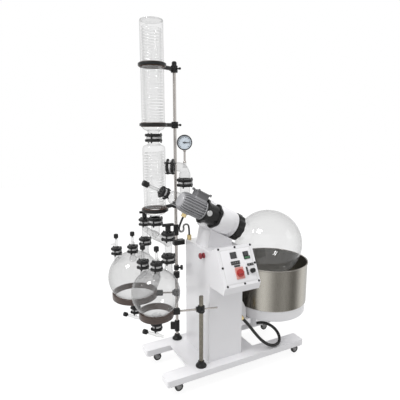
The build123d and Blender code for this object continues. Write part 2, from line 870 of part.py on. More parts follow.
# Elbow from the branch to the condenser's side inlet, with the gauge nipple on its bend
inlet_way = Vector(branch_x - condenser_x, machine_y - condenser_y, 0).normalized()
inlet_start = Plane(origin=(condenser_x, condenser_y, elbow_z), x_dir=(0, 0, 1), z_dir=inlet_way)
inlet_joint = inlet_start.offset(inlet_reach)
with BuildPart() as vapour_elbow:
    with BuildLine() as elbow_route:
        corner = (branch_x, machine_y, elbow_z)
        FilletPolyline(branch_joint.origin, corner, inlet_joint.origin, radius=elbow_bend)
    with BuildSketch(branch_joint):
        Circle(elbow_radius)
    sweep(path=elbow_route.wires()[0])
    disc(branch_joint, branch_radius + lip_reach, lip_thickness)
    disc(inlet_joint, elbow_radius + lip_reach, lip_thickness)
    disc(upright(branch_x, machine_y, elbow_z - nipple_radius), nipple_radius, nipple_rise + nipple_radius)
    with BuildSketch(branch_joint):
        Circle(elbow_radius - condenser_wall)
    sweep(path=elbow_route.wires()[0], mode=Mode.SUBTRACT)
keep(vapour_elbow, "vapour_elbow")


def jacket_outline(levels, wall):
    """Half outline of a jacket, shifted inwards by its wall: (radius, height) pairs from the bottom up."""
    return [(0, levels[0][1])] + [(radius - wall, height) for radius, height in levels] + [(0, levels[-1][1])]


def jacket(levels, wall):
    """Half section of a jacket, to be turned about the condenser's axis."""
    with BuildSketch(turned_plane(upright(condenser_x, condenser_y, 0))) as half_section:
        with BuildLine():
            Polyline(*jacket_outline(levels, wall), close=True)
        make_face()
    return half_section.sketch


condenser_axis = Axis((condenser_x, condenser_y, 0), (0, 0, 1))
bottom_joint = upright(condenser_x, condenser_y, bottom_joint_z)
middle_joint = upright(condenser_x, condenser_y, middle_joint_z)
lower_levels = [(lower_neck, bottom_joint_z), (lower_neck, lower_bottom - shoulder_height),
                (shoulder_radius, lower_bottom - shoulder_turn), (condenser_radius, lower_bottom),
                (condenser_radius, lower_top), (shoulder_radius, lower_top + shoulder_turn),
                (condenser_neck, lower_top + shoulder_height), (condenser_neck, middle_joint_z)]
with BuildPart() as condenser_lower:
    revolve(jacket(lower_levels, 0), axis=condenser_axis)
    disc(inlet_start, elbow_radius, inlet_reach)
    disc(inlet_joint.offset(-lip_thickness), elbow_radius + lip_reach, lip_thickness)
    disc(bottom_joint, lower_neck + lip_reach, lip_thickness)
    disc(middle_joint.offset(-lip_thickness), condenser_neck + lip_reach, lip_thickness)
    revolve(jacket(lower_levels, condenser_wall), axis=condenser_axis, mode=Mode.SUBTRACT)
    disc(inlet_start, elbow_radius - condenser_wall, inlet_reach, Mode.SUBTRACT)
keep(condenser_lower, "condenser_lower")

upper_levels = [(condenser_neck, middle_joint_z), (condenser_neck, upper_bottom - shoulder_height),
                (shoulder_radius, upper_bottom - shoulder_turn), (condenser_radius, upper_bottom),
                (condenser_radius, upper_top - dome_height), (dome_radius, upper_top - dome_turn),
                (crown_radius, upper_top)]
upper_room = upper_levels[:-1] + [(crown_radius, upper_top - condenser_wall)]
with BuildPart() as condenser_upper:
    revolve(jacket(upper_levels, 0), axis=condenser_axis)
    disc(middle_joint, condenser_neck + lip_reach, lip_thickness)
    revolve(jacket(upper_room, condenser_wall), axis=condenser_axis, mode=Mode.SUBTRACT)
keep(condenser_upper, "condenser_upper")

# Cooling coils: ribbed sleeves as wide as their turns, carried by stubs at the jacket wall
with BuildPart() as condenser_coils:
    for bottom, top in ((lower_bottom, lower_top), (upper_bottom, upper_top - dome_height)):
        turns = int((top - bottom - 2 * coil_margin) / coil_pitch)
        start = (top + bottom - turns * coil_pitch) / 2
        outline = [(coil_radius - coil_depth - coil_wall, start)]
        for turn in range(turns):
            outline.append((coil_radius - coil_depth, start + turn * coil_pitch))
            outline.append((coil_radius, start + (turn + 0.5) * coil_pitch))
        outline.append((coil_radius - coil_depth, start + turns * coil_pitch))
        outline.append((coil_radius - coil_depth - coil_wall, start + turns * coil_pitch))
        with BuildSketch(turned_plane(upright(condenser_x, condenser_y, 0))) as section:
            with BuildLine():
                Polyline(*outline, close=True)
            make_face()
        revolve(section.sketch, axis=condenser_axis)
        for height in (start + coil_pitch / 2, start + (turns - 0.5) * coil_pitch):
            stub = Plane(origin=(condenser_x, condenser_y + coil_radius - coil_wall, height), z_dir=(0, 1, 0))
            disc(stub, coil_stub_radius, condenser_radius - condenser_wall - fit - coil_radius + coil_wall)
keep(condenser_coils, "condenser_coils")

# Distributor: the cross pipe under the condensers, with a valve seat and a drop pipe at each end
drop_spots = ((condenser_x, condenser_y - valve_spread), (condenser_x, condenser_y + valve_spread))
with BuildPart() as distributor:
    for wall, mode in ((0, Mode.ADD), (condenser_wall, Mode.SUBTRACT)):
        disc(upright(condenser_x, condenser_y, arm_z), lower_neck - wall, bottom_joint_z - arm_z, mode)
        arm_start = Plane(origin=(condenser_x, condenser_y - valve_spread, arm_z), z_dir=(0, 1, 0))
        disc(arm_start, arm_radius - wall, 2 * valve_spread, mode)
        for x, y in drop_spots:
            disc(upright(x, y, main_joint_z), drop_radius - wall, valve_joint_z - main_joint_z, mode)
        if mode == Mode.ADD:
            disc(bottom_joint.offset(-lip_thickness), lower_neck + lip_reach, lip_thickness)
            for x, y in drop_spots:
                disc(upright(x, y, main_joint_z), drop_radius + lip_reach, lip_thickness)
                disc(upright(x, y, valve_joint_z - lip_thickness), drop_radius + lip_reach, lip_thickness)
keep(distributor, "distributor")

# Receivers: round flasks with a main neck, two vent necks and a drain neck
rear_vents = ((rear_vent_left, 0), (rear_vent_front_x, rear_vent_front_y))
front_vents = ((front_vent_left, 0), (front_vent_front_x, front_vent_front_y))
receivers = {
    "rear": (condenser_y + valve_spread, rear_z, rear_radius, rear_vents, rear_ring_drop),
    "front": (condenser_y - valve_spread, front_z, front_radius, front_vents, front_ring_drop),
}


def vent_joint(y, z, radius, vent):
    """Plane of a vent neck's joint above the flask."""
    rise = math.sqrt(radius ** 2 - vent[0] ** 2 - vent[1] ** 2)
    return upright(receiver_x + vent[0], y + vent[1], z + rise + vent_joint_rise)


def drain_joint(y, z, radius):
    """Plane of the drain joint below the flask."""
    return upright(receiver_x, y, z - radius - drain_neck_length)


for name, (y, z, radius, vents, _) in receivers.items():
    with BuildPart() as receiver:
        for wall, mode in ((0, Mode.ADD), (receiver_wall, Mode.SUBTRACT)):
            with Locations((receiver_x, y, z)):
                Sphere(radius - wall, mode=mode)
            disc(upright(condenser_x, y, z), main_neck_radius - wall, main_joint_z - z, mode)
            for vent in vents:
                joint = vent_joint(y, z, radius, vent)
                foot = upright(joint.origin.X, joint.origin.Y, z)
                disc(foot, vent_neck_radius - wall, joint.origin.Z - z, mode)
            drain = drain_joint(y, z, radius)
            disc(drain, drain_neck_radius - wall, z - drain.origin.Z, mode)
            if mode == Mode.ADD:
                disc(upright(condenser_x, y, main_joint_z - lip_thickness), drop_radius + lip_reach,
                     lip_thickness)
                for vent in vents:
                    disc(vent_joint(y, z, radius, vent).offset(-lip_thickness),
                         vent_neck_radius + lip_reach, lip_thickness)
                disc(drain, drain_neck_radius + lip_reach, lip_thickness)
    keep(receiver, f"{name}_receiver")

# Valve bodies in glass: bonnets over the distributor, vent tubes, the feed tube and the drains
vent_spots = {}
for name, (y, z, radius, vents, _) in receivers.items():
    vent_spots[f"{name}_left"] = vent_joint(y, z, radius, vents[0])
    vent_spots[f"{name}_front"] = vent_joint(y, z, radius, vents[1])
drain_axes = {}
for name, (y, z, radius, vents, _) in receivers.items():
    joint = drain_joint(y, z, radius)
    lean = math.radians(drain_lean)
    drain_axes[name] = Plane(origin=joint.offset(-drain_drop).origin, x_dir=(0, 1, 0),
                             z_dir=(-math.cos(lean), 0, math.sin(lean)))
with BuildPart() as valve_bodies:
    for wall, mode in ((0, Mode.ADD), (vent_tube_radius - vent_bore, Mode.SUBTRACT)):
        for x, y in drop_spots:
            bonnet = bonnet_radius if mode == Mode.ADD else handle_stem_radius + handle_stem_room
            disc(upright(x, y, valve_joint_z), bonnet, bonnet_height, mode)
        for joint in vent_spots.values():
            disc(joint, vent_tube_radius - wall, vent_height, mode)
        disc(feed_joint, vent_tube_radius - wall, feed_tube_length, mode)
        for name, joint in vent_spots.items():
            way = (-1, 0, 0) if name.endswith("left") else (0, -1, 0)
            nipple = Plane(origin=joint.offset(vent_nipple_rise).origin, z_dir=way)
            size = vent_nipple_radius if mode == Mode.ADD else vent_nipple_bore
            disc(nipple, size, vent_nipple_length, mode)
            if mode == Mode.ADD:
                disc(nipple, vent_root_radius, vent_root_length)
        for axis in drain_axes.values():
            disc(axis.offset(-drain_outlet_side), drain_tube_radius - wall,
                 drain_outlet_side + drain_knob_side, mode)
            disc(axis.offset(-drain_outlet_side - drain_nipple_length),
                 drain_nipple_radius if mode == Mode.ADD else vent_bore, drain_nipple_length, mode)
            foot = upright(axis.origin.X, axis.origin.Y, axis.origin.Z)
            disc(foot, drain_tube_radius - wall, drain_drop, mode)
        if mode == Mode.ADD:
            for x, y in drop_spots:
                disc(upright(x, y, valve_joint_z), drop_radius + lip_reach, lip_thickness)
            for joint in vent_spots.values():
                disc(joint, vent_neck_radius + lip_reach, lip_thickness)
            disc(feed_joint, feed_neck_radius + lip_reach, lip_thickness)
            for axis in drain_axes.values():
                disc(upright(axis.origin.X, axis.origin.Y, axis.origin.Z + drain_drop - lip_thickness),
                     drain_neck_radius + lip_reach, lip_thickness)
keep(valve_bodies, "valve_bodies")

# Handles and knobs of the valves
for (x, y), name in zip(drop_spots, ("front", "rear")):
    bonnet_top = upright(x, y, valve_joint_z + bonnet_height + fit)
    with BuildPart() as valve_handle:
        disc(bonnet_top, handle_grip_radius, handle_grip_height)
        with Locations(bonnet_top.offset(handle_grip_height)):
            Box(handle_bar_length, handle_bar_width, handle_bar_height,
                align=(Align.CENTER, Align.CENTER, Align.MIN))
        fillet(valve_handle.edges().filter_by(Axis.Z), handle_round)
        disc(bonnet_top.offset(-plug_length), handle_stem_radius, plug_length)
    keep(valve_handle, f"{name}_valve_handle")


def knob(seat, radius, length):
    """A round knob above a tube's end, with its stem reaching down the bore."""
    with BuildPart() as piece:
        disc(seat.offset(fit), radius, length)
        chamfer(piece.edges().filter_by(GeomType.CIRCLE), knob_chamfer)
        disc(seat.offset(-plug_length), knob_stem_radius, plug_length + fit)
    return piece


for name, joint in vent_spots.items():
    keep(knob(joint.offset(vent_height), knob_radius, knob_height), f"vent_knob_{name}")
for name, axis in drain_axes.items():
    keep(knob(axis.offset(drain_knob_side), knob_radius, knob_height), f"drain_knob_{name}")
keep(knob(feed_joint.offset(feed_tube_length), feed_knob_radius, feed_knob_length), "feed_knob")

# Clamps on every glass joint, and the seat ring that holds the vapour tube on the housing
with BuildPart() as flange_clamps:
    clamp(middle_joint, condenser_neck)
    clamp(inlet_joint, elbow_radius)
    clamp(bottom_joint, lower_neck)
    clamp(branch_joint, branch_radius)
    clamp(feed_joint, feed_neck_radius)
    for x, y in drop_spots:
        clamp(upright(x, y, valve_joint_z), drop_radius)
        clamp(upright(x, y, main_joint_z), main_neck_radius)
    for joint in vent_spots.values():
        clamp(joint, vent_neck_radius)
    for axis in drain_axes.values():
        clamp(upright(axis.origin.X, axis.origin.Y, axis.origin.Z + drain_drop), drain_neck_radius)
    ring(drive_axis.offset(housing_end), seat_ring_radius, vapour_radius + bead_reach + fit,
         bead_gap + bead_thickness)
    ring(drive_axis.offset(seat_station + bead_thickness), seat_ring_radius, vapour_radius + fit,
         seat_ring_length - bead_gap - bead_thickness)
keep(flange_clamps, "flange_clamps")

# Poles: the tall one behind the cabinet and the short rod in front
pole_spots = {"tall": (pole_x, pole_y, pole_radius, pole_top), "short": (pole_x, rod_y, rod_radius, rod_top)}
with BuildPart() as support_poles:
    for x, y, radius, top in pole_spots.values():
        disc(upright(x, y, base_top + fit), radius, top - base_top - fit)
    chamfer(support_poles.edges().filter_by(GeomType.CIRCLE), pole_chamfer)
keep(support_poles, "support_poles")


def ring_arm(centre, spot, outer):
    """Start point, direction and length of the rod from a ring to the boss on its pole."""
    way = Vector(spot[0] - centre[0], spot[1] - centre[1], 0)
    return way.normalized(), way.length - outer - boss_reach


# Every ring: its centre, level, inner radius, height, wall and the pole that carries it
held_radius = condenser_radius + fit
rings = []
for level in (lower_ring_z, middle_ring_z, band_z):
    rings.append(((condenser_x, condenser_y), level, held_radius, ring_height, ring_thickness, "tall"))
for (y, z, radius, _, drop), carrier in zip(receivers.values(), ("tall", "short")):
    inner = math.sqrt(radius ** 2 - drop ** 2) + fit
    level = z - drop - receiver_ring_height / 2
    rings.append(((receiver_x, y), level, inner, receiver_ring_height, receiver_ring_thickness, carrier))


def ring_with_arm(centre, level, inner, height, thickness, carrier):
    """A clamp ring with its rod, level at mid-height."""
    outer = inner + pad_thickness + thickness
    way, reach = ring_arm(centre, pole_spots[carrier], outer)
    start = Plane(origin=Vector(centre[0], centre[1], level) + way * (outer - thickness / 2), z_dir=way)
    disc(start, arm_rod_radius, reach + thickness / 2)
    ring(upright(centre[0], centre[1], level - height / 2), outer, inner + pad_thickness, height)


with BuildPart() as condenser_rings:
    for row in rings[:3]:
        ring_with_arm(*row)
keep(condenser_rings, "condenser_rings")

with BuildPart() as receiver_rings:
    for row in rings[3:]:
        ring_with_arm(*row)
keep(receiver_rings, "receiver_rings")

# Rubber pads between the rings and the glass
with BuildPart() as ring_pads:
    for centre, level, inner, height, thickness, carrier in rings:
        ring(upright(centre[0], centre[1], level - height / 2), inner + pad_thickness, inner, height)
keep(ring_pads, "ring_pads")

# Bosses on the poles with their clamping knobs, the feet, sleeves and the tie to the cabinet
with BuildPart() as pole_fittings:
    for centre, level, inner, height, thickness, carrier in rings:
        x, y, radius, top = pole_spots[carrier]
        way, reach = ring_arm(centre, pole_spots[carrier], inner + pad_thickness + thickness)
        disc(upright(x, y, level - boss_height / 2), boss_radius, boss_height)
        block = Plane(origin=Vector(x, y, level) - way * boss_reach, z_dir=way)
        with Locations(block):
            Box(boss_width, boss_width, boss_reach, align=(Align.CENTER, Align.CENTER, Align.MIN))
        side = Vector(way.Y, -way.X, 0)
        grip = Plane(origin=Vector(x, y, level) + side * (boss_radius - fit), z_dir=side)
        disc(grip, knob_stem_radius, pole_knob_length)
        disc(grip.offset(pole_knob_length / 2), pole_knob_radius, pole_knob_length / 2)
        if carrier == "short":
            tail = Plane(origin=Vector(x, y, level) + way * (boss_radius - fit), z_dir=way)
            disc(tail, rod_tail_radius, rod_tail_length)
        disc(upright(x, y, level - boss_height / 2), radius + fit, boss_height, Mode.SUBTRACT)
    for x, y, radius, top in pole_spots.values():
        ring(upright(x, y, base_top), foot_radius, radius + fit, foot_height)
        ring(upright(x, y, base_top + foot_height), foot_collar_radius, radius + fit, foot_collar_height)
    ring(upright(pole_x, pole_y, sleeve_bottom), sleeve_radius, pole_radius + fit, sleeve_top - sleeve_bottom)
    ring(upright(pole_x, pole_y, coupling_bottom), sleeve_radius, pole_radius + fit, coupling_length)
    with BuildSketch(upright(0, 0, tie_bottom)):
        with Locations((cabinet_left, pole_y)):
            Rectangle(cabinet_left - pole_x + boss_radius, tie_width, align=(Align.MAX, Align.CENTER))
        with Locations((pole_x, pole_y)):
            Circle(pole_radius + fit, mode=Mode.SUBTRACT)
    extrude(amount=tie_height)
keep(pole_fittings, "pole_fittings")

# Gauge on the elbow's nipple, with a needle on its pin
turn = math.radians(gauge_turn)
gauge_face = Plane(origin=(branch_x, machine_y, gauge_z), x_dir=(math.cos(turn), -math.sin(turn), 0),
                   z_dir=(-math.sin(turn), -math.cos(turn), 0)).offset(gauge_depth / 2)
dial_floor = gauge_face.offset(-gauge_recess)
with BuildPart() as gauge_case:
    disc(gauge_face.offset(-gauge_depth), gauge_radius, gauge_depth)
    disc(dial_floor, gauge_radius - gauge_rim, gauge_recess, Mode.SUBTRACT)
    disc(dial_floor, needle_pin, needle_lift + needle_thickness)
    disc(upright(branch_x, machine_y, nipple_top), gauge_stem_radius, gauge_stem_length + gauge_stem_sink)
keep(gauge_case, "gauge_case")

with BuildPart() as gauge_needle:
    with BuildSketch(dial_floor.offset(needle_lift)):
        with BuildLine():
            Polyline((-needle_tail, -needle_width / 2), (needle_length, -needle_tip / 2),
                     (needle_length, needle_tip / 2), (-needle_tail, needle_width / 2), close=True)
        make_face()
        Circle(needle_hub)
        Circle(needle_pin + running_fit, mode=Mode.SUBTRACT)
    extrude(amount=needle_thickness)
keep(gauge_needle, "gauge_needle")

# Bath: a steel pot in a painted pan, on the carriage that runs on the cabinet's rails
bath_axis = upright(bath_x, machine_y, 0)
with BuildPart() as bath_tank:
    disc(bath_axis.offset(bath_floor), bath_radius, bath_depth)
    ring(bath_axis.offset(bath_rim - bath_lip_height), bath_radius + bath_lip, bath_radius, bath_lip_height)
    disc(bath_axis.offset(bath_floor + bath_wall), bath_radius - bath_wall, bath_depth, Mode.SUBTRACT)
keep(bath_tank, "bath_tank")

with BuildPart() as bath_heater:
    with BuildSketch(turned_plane(bath_axis)):
        with Locations((heater_radius, bath_floor + bath_wall + heater_tube + fit)):
            Circle(heater_tube)
    revolve(axis=Axis(bath_axis.origin, (0, 0, 1)))
keep(bath_heater, "bath_heater")

rail_face = cabinet_right + rail_depth
carriage_face = rail_face + fit + slide_depth
with BuildPart() as bath_carriage:
    disc(bath_axis.offset(pan_bottom), pan_radius, pan_height)
    disc(bath_axis.offset(pan_bottom + pan_wall), pan_radius - pan_wall, pan_height - 2 * pan_wall,
         Mode.SUBTRACT)
    with Locations((carriage_face, machine_y, pan_bottom - bracket_thickness)):
        Box(carriage_thickness, 2 * carriage_half, carriage_height + bracket_thickness,
            align=(Align.MIN, Align.CENTER, Align.MIN))
        Box(bracket_reach, 2 * carriage_half, bracket_thickness, align=(Align.MIN, Align.CENTER, Align.MIN))
    for side in (-1, 1):
        with Locations((carriage_face, machine_y + side * rail_y, pan_bottom)):
            Box(slide_depth, rail_width, carriage_height, align=(Align.MAX, Align.CENTER, Align.MIN))
        gusset_start = machine_y + side * gusset_y + bracket_thickness / 2
        corner = (carriage_face, gusset_start, pan_bottom)
        with BuildSketch(Plane(origin=corner, x_dir=(1, 0, 0), z_dir=(0, -1, 0))):
            with BuildLine():
                Polyline((0, 0), (bath_x - pan_radius - carriage_face - fit, 0),
                         (bath_x - pan_radius - carriage_face - fit, gusset_height),
                         (0, carriage_height), close=True)
            make_face()
        extrude(amount=bracket_thickness)
    hose_end = Plane(origin=hose_points[-1], z_dir=(-1, 0, 0))
    disc(hose_end, gland_radius, hose_points[-1][0] - spigot_x)
    spigot = upright(spigot_x, hose_points[-1][1], hose_points[-1][2] - gland_radius)
    disc(spigot, gland_radius + gland_margin, pan_bottom - spigot.origin.Z)
keep(bath_carriage, "bath_carriage")

with BuildPart() as bath_rails:
    for side in (-1, 1):
        with Locations((cabinet_right, machine_y + side * rail_y, rail_bottom)):
            Box(rail_depth, rail_width, rail_top - rail_bottom, align=(Align.MIN, Align.CENTER, Align.MIN))
keep(bath_rails, "bath_rails")

# Conduits and the glands they end in
with BuildPart() as conduit_glands:
    hose_mouth = Plane(origin=hose_points[0], z_dir=Vector(*hose_points[0]) - Vector(*hose_points[1]))
    disc(hose_mouth, gland_radius, gland_depth)
    split(bisect_by=Plane(origin=(cabinet_right, 0, 0), z_dir=(1, 0, 0)), keep=Keep.TOP)
    disc(upright(conduit_points[0][0], conduit_points[0][1], cabinet_top), gland_radius,
         conduit_points[0][2] - cabinet_top)
    disc(gland_plane.offset(terminal_seat), gland_radius, gland_foot.Y - terminal_seat)
keep(conduit_glands, "conduit_glands")
print("conduit radii", [round(radius) for radius in run_radii(conduit_points)])
print("hose radii", [round(radius) for radius in run_radii(hose_points)])
motor_conduit = tube_along(conduit_points, conduit_radius)
keep(motor_conduit, "motor_conduit")
bath_hose = tube_along(hose_points, hose_radius)
keep(bath_hose, "bath_hose")
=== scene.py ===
# %% [markdown]
# # A floor-standing rotary evaporator
# The machine spins a round flask in a warm bath, leads the vapour up into two glass condensers and
# collects what drips down in two receivers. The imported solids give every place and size. This lesson
# dresses them: smooth glassware, cast clamps, brushed steel, paint, hoses and the panel's small parts.

import json
import math

import bmesh
import bpy
import numpy as np
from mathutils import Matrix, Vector


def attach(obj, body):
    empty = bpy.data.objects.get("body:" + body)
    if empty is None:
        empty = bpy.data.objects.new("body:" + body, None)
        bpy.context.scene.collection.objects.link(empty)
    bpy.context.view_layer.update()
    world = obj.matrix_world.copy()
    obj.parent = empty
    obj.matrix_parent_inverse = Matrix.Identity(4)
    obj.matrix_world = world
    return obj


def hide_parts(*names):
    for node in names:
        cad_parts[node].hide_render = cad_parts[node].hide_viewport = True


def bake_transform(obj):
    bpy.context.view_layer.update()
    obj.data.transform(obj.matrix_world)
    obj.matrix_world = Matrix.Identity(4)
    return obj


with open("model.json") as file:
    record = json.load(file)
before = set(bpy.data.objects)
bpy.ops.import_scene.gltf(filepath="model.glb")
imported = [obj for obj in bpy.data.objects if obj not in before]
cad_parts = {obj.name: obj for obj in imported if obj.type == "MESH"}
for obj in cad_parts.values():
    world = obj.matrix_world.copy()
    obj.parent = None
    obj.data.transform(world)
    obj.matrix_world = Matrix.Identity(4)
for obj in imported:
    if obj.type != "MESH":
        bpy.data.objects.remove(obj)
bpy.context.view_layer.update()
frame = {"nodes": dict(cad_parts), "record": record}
nodes = frame["nodes"]

# %% [markdown]
# ## Shapes from arrays
# A surface here is an array of points, rows by columns, and its faces join neighbours. Three kinds do
# most of the work: a profile turned about an axis, a circle carried along a path, and a flat outline with
# a thickness. Lengths in these functions are millimetres, as on a drawing; `piece` makes them metres.

# %% Directions, places and grids of points
MM = 0.001
UP = (0, 0, 1)


def unit(vector):
    """A vector divided by its own length."""
    vector = np.asarray(vector, float)
    return vector / np.linalg.norm(vector, axis=-1, keepdims=True)


def stand(origin, direction):
    """An origin and three unit vectors, the third along the direction."""
    z = unit(direction)
    side = np.array([0.0, 1.0, 0.0]) if abs(z[1]) < 0.9 else np.array([1.0, 0.0, 0.0])
    x = unit(side - z * side.dot(z))
    return np.array(origin, float), x, np.cross(z, x), z


def shifted(place, along, across=(0.0, 0.0)):
    """The same directions with the origin moved along and across the axis."""
    origin, x, y, z = place
    return origin + z * along + x * across[0] + y * across[1], x, y, z


def grid(points):
    """Quads between neighbours in a (rows, columns, 3) array, the last column joined to the first."""
    rows, columns = points.shape[:2]
    row, column = np.meshgrid(np.arange(rows - 1), np.arange(columns), indexing="ij")
    here, below, beside = row * columns, (row + 1) * columns, (column + 1) % columns
    corners = [here + column, here + beside, below + beside, below + column]
    return points.reshape(-1, 3), np.stack(corners, -1).reshape(-1, 4).tolist()


def angles(steps):
    """Equal angles round a full turn."""
    return np.linspace(0, 2 * np.pi, steps, endpoint=False)


def compass(a):
    """Points (cos a, sin a) of the unit circle."""
    return np.stack([np.cos(a), np.sin(a)], -1)


# %% Turned, carried and stacked shapes
def turned(place, profile, steps, ripple=None):
    """Surface of revolution: origin + station * axis + radius * (cos a, sin a).

    A ripple(a) swells the radius.
    """
    origin, x, y, z = place
    radius, station = np.asarray(profile, float).T
    a = angles(steps)
    swell = np.ones(steps) if ripple is None else ripple(a)
    round_way = np.cos(a)[:, None] * x + np.sin(a)[:, None] * y
    points = origin + station[:, None, None] * z + (radius[:, None] * swell)[..., None] * round_way
    return grid(points)


def rounded(points, cut, steps=5):
    """Corners become arcs (1-t)^2 p + 2t(1-t) corner + t^2 q, with p and q one cut away from the corner."""
    points = np.asarray(points, float)
    before, here, after = points[:-2], points[1:-1], points[2:]
    back, ahead = before - here, after - here
    room = 0.48 * np.minimum(np.linalg.norm(back, axis=1), np.linalg.norm(ahead, axis=1))
    reach = np.minimum(np.broadcast_to(cut, len(here)), room)[:, None]
    p, q = here + unit(back) * reach, here + unit(ahead) * reach
    t = np.linspace(0, 1, steps)[None, :, None]
    arcs = (1 - t) ** 2 * p[:, None] + 2 * t * (1 - t) * here[:, None] + t ** 2 * q[:, None]
    return np.vstack([points[:1], arcs.reshape(-1, points.shape[1]), points[-1:]])


def tube(path, radius, sides, capped=True):
    """A circle carried along a path, each ring square to the path's direction."""
    path = np.asarray(path, float)
    ahead = unit(np.gradient(path, axis=0))
    lead = np.array([0.31, 0.22, 0.92]) if abs(ahead[:, 2]).mean() < 0.8 else np.array([0.92, 0.31, 0.0])
    x = unit(np.cross(ahead, lead))
    y = np.cross(ahead, x)
    a = angles(sides)
    radius = np.broadcast_to(radius, len(path))[:, None, None]
    points = path[:, None] + radius * (np.cos(a)[:, None] * x[:, None] + np.sin(a)[:, None] * y[:, None])
    verts, faces = grid(points)
    if capped:
        faces = faces + [list(range(sides)), list(range(len(verts) - sides, len(verts)))]
    return verts, faces


def lofted(place, rows):
    """Outlines stacked along the axis, each with its station, closed by a face at both ends."""
    origin, x, y, z = place
    points = np.array([origin + outline[:, :1] * x + outline[:, 1:] * y + station * z
                       for outline, station in rows])
    verts, faces = grid(points)
    count = points.shape[1]
    return verts, faces + [list(range(count)), list(range(len(verts) - count, len(verts)))]


def oblong(width, height, corner, steps=6):
    """Outline of a rectangle whose corners are quarter circles."""
    a = np.linspace(0, np.pi / 2, steps)
    quarter = compass(a) * corner
    turns = [(1, 1, 0), (-1, 1, 1), (-1, -1, 2), (1, -1, 3)]
    parts = []
    for sx, sy, turn in turns:
        c, s = round(math.cos(turn * math.pi / 2)), round(math.sin(turn * math.pi / 2))
        centre = np.array([sx * (width / 2 - corner), sy * (height / 2 - corner)])
        parts.append(centre + quarter @ np.array([[c, s], [-s, c]]))
    return np.vstack(parts)


def slab(place, width, height, thickness, corner, edge=1.0, start=0.0, centre=(0.0, 0.0)):
    """A flat block with round corners and a softened upper edge."""
    full = oblong(width, height, corner) + centre
    small = oblong(width - 2 * edge, height - 2 * edge, max(corner - edge, 0.2)) + centre
    top = start + thickness
    return lofted(place, [(full, start), (full, top - edge), (small, top)])


def box(low, high, corner=2.0):
    """An upright block between two corners."""
    low, high = np.asarray(low, float), np.asarray(high, float)
    middle = (low + high) / 2
    place = np.array([middle[0], middle[1], low[2]]), np.eye(3)[0], np.eye(3)[1], np.eye(3)[2]
    return slab(place, high[0] - low[0], high[1] - low[1], high[2] - low[2], corner)


def closed(points, cut, steps=4):
    """A profile whose end joins its start, with rounded corners."""
    points = list(points)
    middle = (np.array(points[-1], float) + np.array(points[0], float)) / 2
    return rounded([middle] + points + [middle], cut, steps)


def band(place, inner, outer, low, high, cut, steps, ripple=None):
    """A ring of square section, its corners rounded by a cut."""
    section = [(inner, low), (outer, low), (outer, high), (inner, high)]
    return turned(place, closed(section, cut), steps, ripple)


def rod(place, radius, low, high, cut, steps, arc=5):
    """A solid cylinder between two stations, its edges rounded by a cut."""
    return turned(place, rounded([(0, low), (radius, low), (radius, high), (0, high)], cut, arc), steps)


# %% One object from its shapes
SAME_POINT = 2e-6


def piece(name, shapes, finish, body="frame", replaces=None, crease=35):
    """One object from shapes in millimetres: merged, faced outwards, shaded, and carried by a body."""
    points, faces, count = [], [], 0
    for verts, quads in shapes:
        points.append(verts)
        faces += [[index + count for index in face] for face in quads]
        count += len(verts)
    mesh = bpy.data.meshes.new(name)
    mesh.from_pydata((np.vstack(points) * MM).tolist(), [], faces)
    work = bmesh.new()
    work.from_mesh(mesh)
    bmesh.ops.remove_doubles(work, verts=work.verts, dist=SAME_POINT)
    bmesh.ops.recalc_face_normals(work, faces=work.faces)
    work.to_mesh(mesh)
    work.free()
    mesh.shade_smooth()
    mesh.set_sharp_from_angle(angle=math.radians(crease))
    made = bpy.data.objects.new(name, mesh)
    bpy.context.scene.collection.objects.link(made)
    mesh.materials.append(finish)
    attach(made, body)
    if replaces:
        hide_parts(replaces)
    return made


# %% [markdown]
# ## Finishes as sums
# A finish is a small graph of nodes. A socket wrapped in `Sum` can be added, multiplied or raised to a
# power in plain Python, and each operator adds one Math node. Every other node comes from `Recipe.node`.

# %% The two classes that write shader nodes
class Sum:
    """A node's output that takes part in sums."""

    def __init__(self, recipe, socket):
        self.recipe, self.socket = recipe, socket

    def math(self, operation, *values):
        """One Math node on these values."""
        return self.recipe.node("Math", {"operation": operation}, dict(enumerate(values)))

    def __add__(self, other):
        return self.math("ADD", self, other)

    def __mul__(self, other):
        return self.math("MULTIPLY", self, other)

    def __sub__(self, other):
        return self.math("SUBTRACT", self, other)

    def __pow__(self, other):
        return self.math("POWER", self, other)


